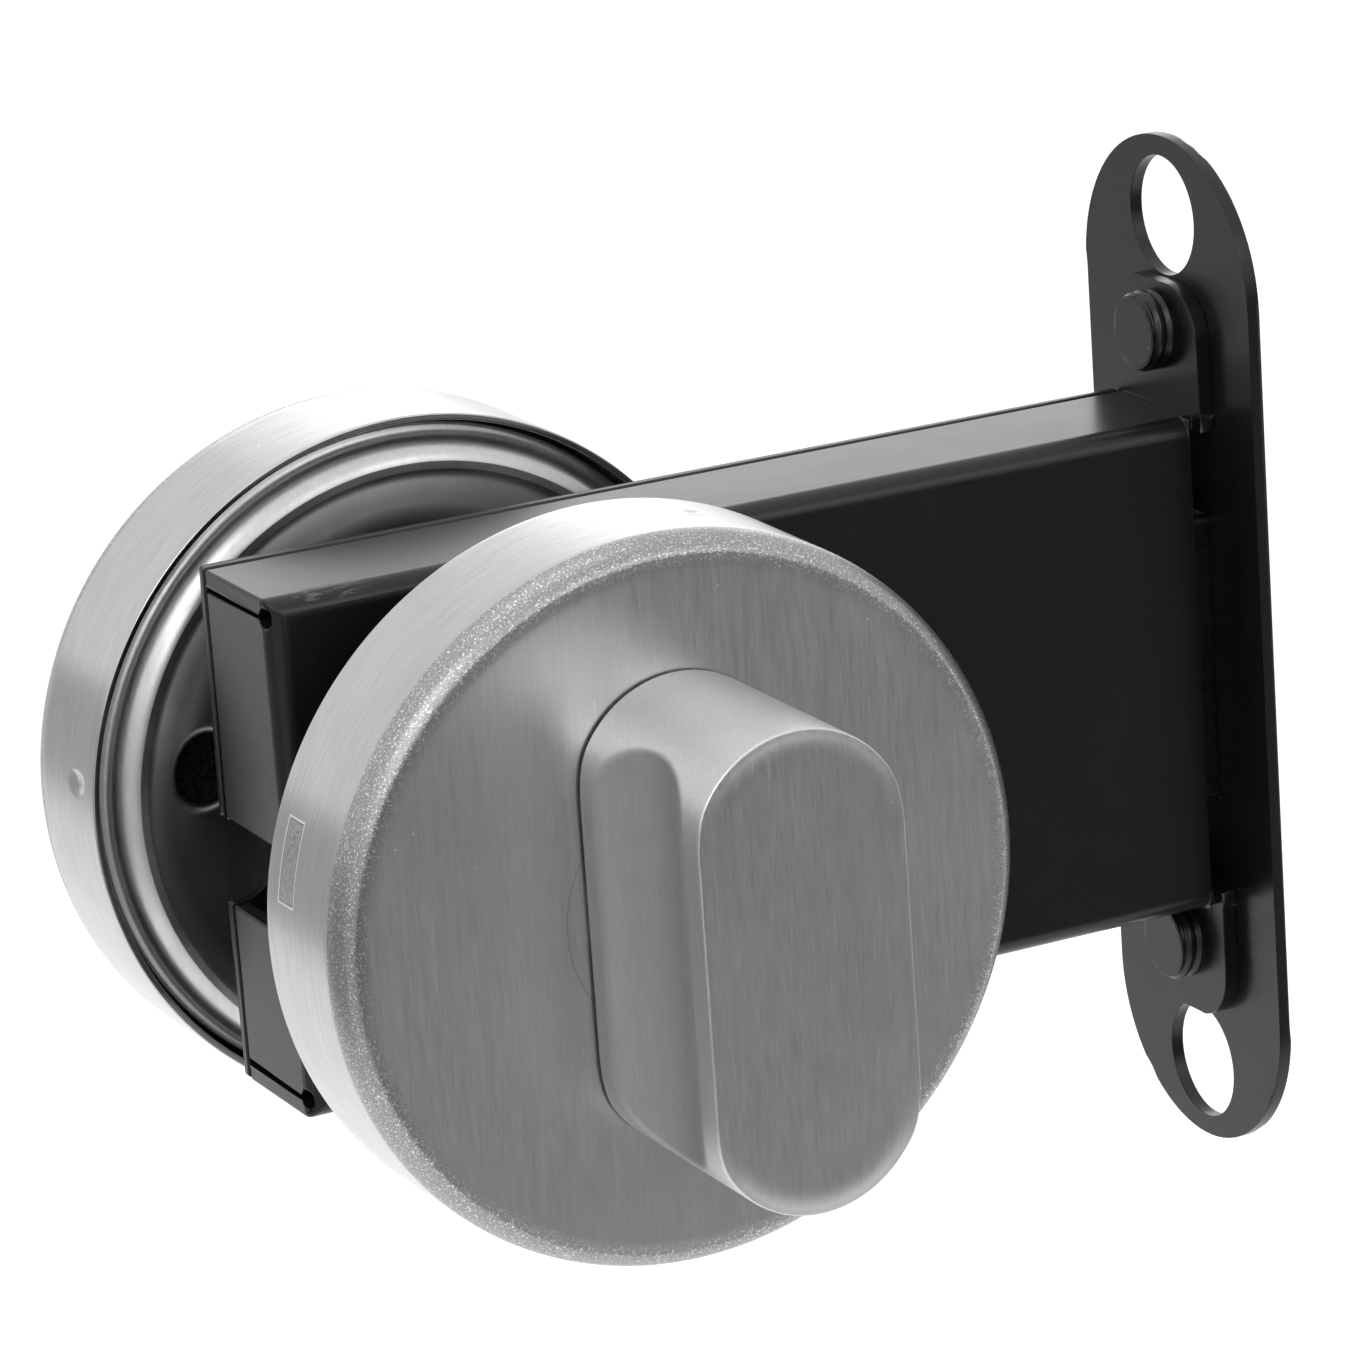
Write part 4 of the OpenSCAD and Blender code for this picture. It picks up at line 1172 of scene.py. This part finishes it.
# Operators


class LOCK_OT_rose_covers(bpy.types.Operator):
    """Make both rose covers, the rear one with its indicator window"""

    bl_idname = "lock.rose_covers"
    bl_label = "Rose covers"

    def execute(self, context):
        for name, side in (("front_rose_cover", -1), ("rear_rose_cover", 1)):
            grid, quads, marks = cover_shell(context.scene.lock_rose, side)
            shells = [(on_rose(grid, side), quads)]
            piece = make_piece(
                name + "_shell", shells, "lock", [name], marks=marks
            )
            dress(piece, finish("Rose steel"))
        return {"FINISHED"}


class LOCK_OT_rose_plates(bpy.types.Operator):
    """Make both backing plates with their pressed rings and fixing holes"""

    bl_idname = "lock.rose_plates"
    bl_label = "Backing plates"

    def execute(self, context):
        for name, side in (("front_rose_plate", -1), ("rear_rose_plate", 1)):
            shells, marks = plate_shells(context.scene.lock_plate)
            shells = [(on_rose(p, side), q) for p, q in shells]
            piece = make_piece(
                name + "_pressing", shells, "lock", [name], marks=marks
            )
            dress(piece, finish("Plate steel"))
        return {"FINISHED"}


class LOCK_OT_thumb_turn(bpy.types.Operator):
    """Make the thumb turn with its finger scallops"""

    bl_idname = "lock.thumb_turn"
    bl_label = "Thumb turn"

    def execute(self, context):
        turn = context.scene.lock_turn
        body, corner = turn_body(turn)
        shank = turn_shank(turn)
        shells = [
            (on_rose(body, -1), grid_quads(*body.shape[:2], wrap_rows=False)),
            (on_rose(shank, -1), grid_quads(*shank.shape[:2], wrap_cols=False)),
        ]
        marks = {"corner": np.concatenate([corner.ravel(), np.zeros(shank.size // 3)])}
        piece = make_piece(
            "thumb_turn_body", shells, "turn", ["thumb_turn"], 40, marks
        )
        dress(piece, finish("Turn steel"))
        return {"FINISHED"}


class LOCK_OT_case(bpy.types.Operator):
    """Paint the case, its cover, studs and forend, and thread the screws' ends"""

    bl_idname = "lock.case"
    bl_label = "Case and forend"

    def execute(self, context):
        for name, width, wide in (
            ("case_body", 0.22 * MM, True),
            ("case_cover", 0.3 * MM, True),
            ("cover_studs", 0.1 * MM, False),
            ("forend", 0.25 * MM, True),
            ("forend_screws", 0.1 * MM, False),
        ):
            node = frame["nodes"][name]
            soften(node, width, 3, wide)
            dress(node, finish("Black paint"))
        screw = context.scene.lock_screw
        for name, height in (("upper", screw.upper), ("lower", screw.lower)):
            shells = [thread_shell(screw, height)]
            piece = make_piece(name + "_screw_thread", shells, "lock")
            dress(piece, finish("Black paint"))
        return {"FINISHED"}


class LOCK_OT_release(bpy.types.Operator):
    """Finish the release boss, the indicator disc and its window"""

    bl_idname = "lock.release"
    bl_label = "Release and indicator"

    def execute(self, context):
        nodes = frame["nodes"]
        soften(nodes["release_boss"], 0.15 * MM, 3)
        dress(nodes["release_boss"], finish("Boss steel"))
        dress(nodes["indicator_disc"], finish("Indicator enamel"))
        dress(nodes["window_lens"], finish("Clear acrylic"))
        return {"FINISHED"}


class LOCK_OT_works(bpy.types.Operator):
    """Finish the bolt, follower, spindle, bearings and clips"""

    bl_idname = "lock.works"
    bl_label = "Bolt and works"

    def execute(self, context):
        for material, width, names in (
            ("Ground steel", 0.1 * MM, "tail_rivets crank_pin spindle detent_spring"),
            ("Plain steel", 0.1 * MM, "bolt_tail guide_tube follower"),
            # The bolt head gets the dark oiled steel, so that it shows dark in the gap beside the
            # forend
            ("Oiled steel", 0.1 * MM, "bolt_head turn_circlip release_circlip"),
            ("Oiled steel", 0.1 * MM, "turn_grub_screw release_grub_screw"),
            ("Nylon", 0.1 * MM, "front_bush rear_bush"),
            ("Nylon", 0.05 * MM, "turn_washer release_washer"),
        ):
            for name in names.split():
                soften(frame["nodes"][name], width)
                dress(frame["nodes"][name], finish(material))
        return {"FINISHED"}


class LOCK_OT_stage(bpy.types.Operator):
    """Set the camera, floor, lamps and surround"""

    bl_idname = "lock.stage"
    bl_label = "Stage"

    def execute(self, context):
        scene = context.scene
        stage = scene.lock_stage
        lens = bpy.data.cameras.new("Camera")
        lens.lens = stage.lens
        lens.sensor_width = 36
        lens.clip_start = 0.01
        lens.clip_end = 50
        camera = link("Camera", lens)
        camera.location = stage.place
        camera.rotation_euler = Euler(stage.aim)
        scene.camera = camera
        scene.view_settings.view_transform = "Standard"
        floor(stage.floor)
        surround(stage.surround)
        for lamp in LAMPS:
            softbox(*lamp)
        for flag in CARDS:
            card(*flag)
        return {"FINISHED"}


SETTINGS = {
    "lock_rose": RoseSettings,
    "lock_plate": PlateSettings,
    "lock_turn": TurnSettings,
    "lock_screw": ScrewSettings,
    "lock_finish": FinishSettings,
    "lock_stage": StageSettings,
}
OPERATORS = (
    LOCK_OT_rose_covers,
    LOCK_OT_rose_plates,
    LOCK_OT_thumb_turn,
    LOCK_OT_case,
    LOCK_OT_release,
    LOCK_OT_works,
    LOCK_OT_stage,
)


class LOCK_PT_panel(bpy.types.Panel):
    """Lists the settings and the pieces"""

    bl_label = "Toilet indicator bolt"
    bl_idname = "LOCK_PT_panel"
    bl_space_type = "VIEW_3D"
    bl_region_type = "UI"
    bl_category = "Lock"

    def draw(self, context):
        for name in SETTINGS:
            group = getattr(context.scene, name)
            box = self.layout.box()
            box.label(text=group.bl_rna.name)
            for key in group.__annotations__:
                box.prop(group, key)
        for operator in OPERATORS:
            self.layout.operator(operator.bl_idname)


def register():
    for kind in (*SETTINGS.values(), *OPERATORS, LOCK_PT_panel):
        bpy.utils.register_class(kind)
    for name, kind in SETTINGS.items():
        setattr(bpy.types.Scene, name, PointerProperty(type=kind))


def unregister():
    for name in SETTINGS:
        delattr(bpy.types.Scene, name)
    for kind in reversed((*SETTINGS.values(), *OPERATORS, LOCK_PT_panel)):
        bpy.utils.unregister_class(kind)


def plain(box):
    return [[float(x) for x in corner] for corner in box]


def main():
    register()
    bpy.ops.lock.rose_covers()
    bpy.ops.lock.rose_plates()
    bpy.ops.lock.thumb_turn()
    bpy.ops.lock.case()
    bpy.ops.lock.release()
    bpy.ops.lock.works()
    bpy.ops.lock.stage()


if __name__ == "__main__":
    main()
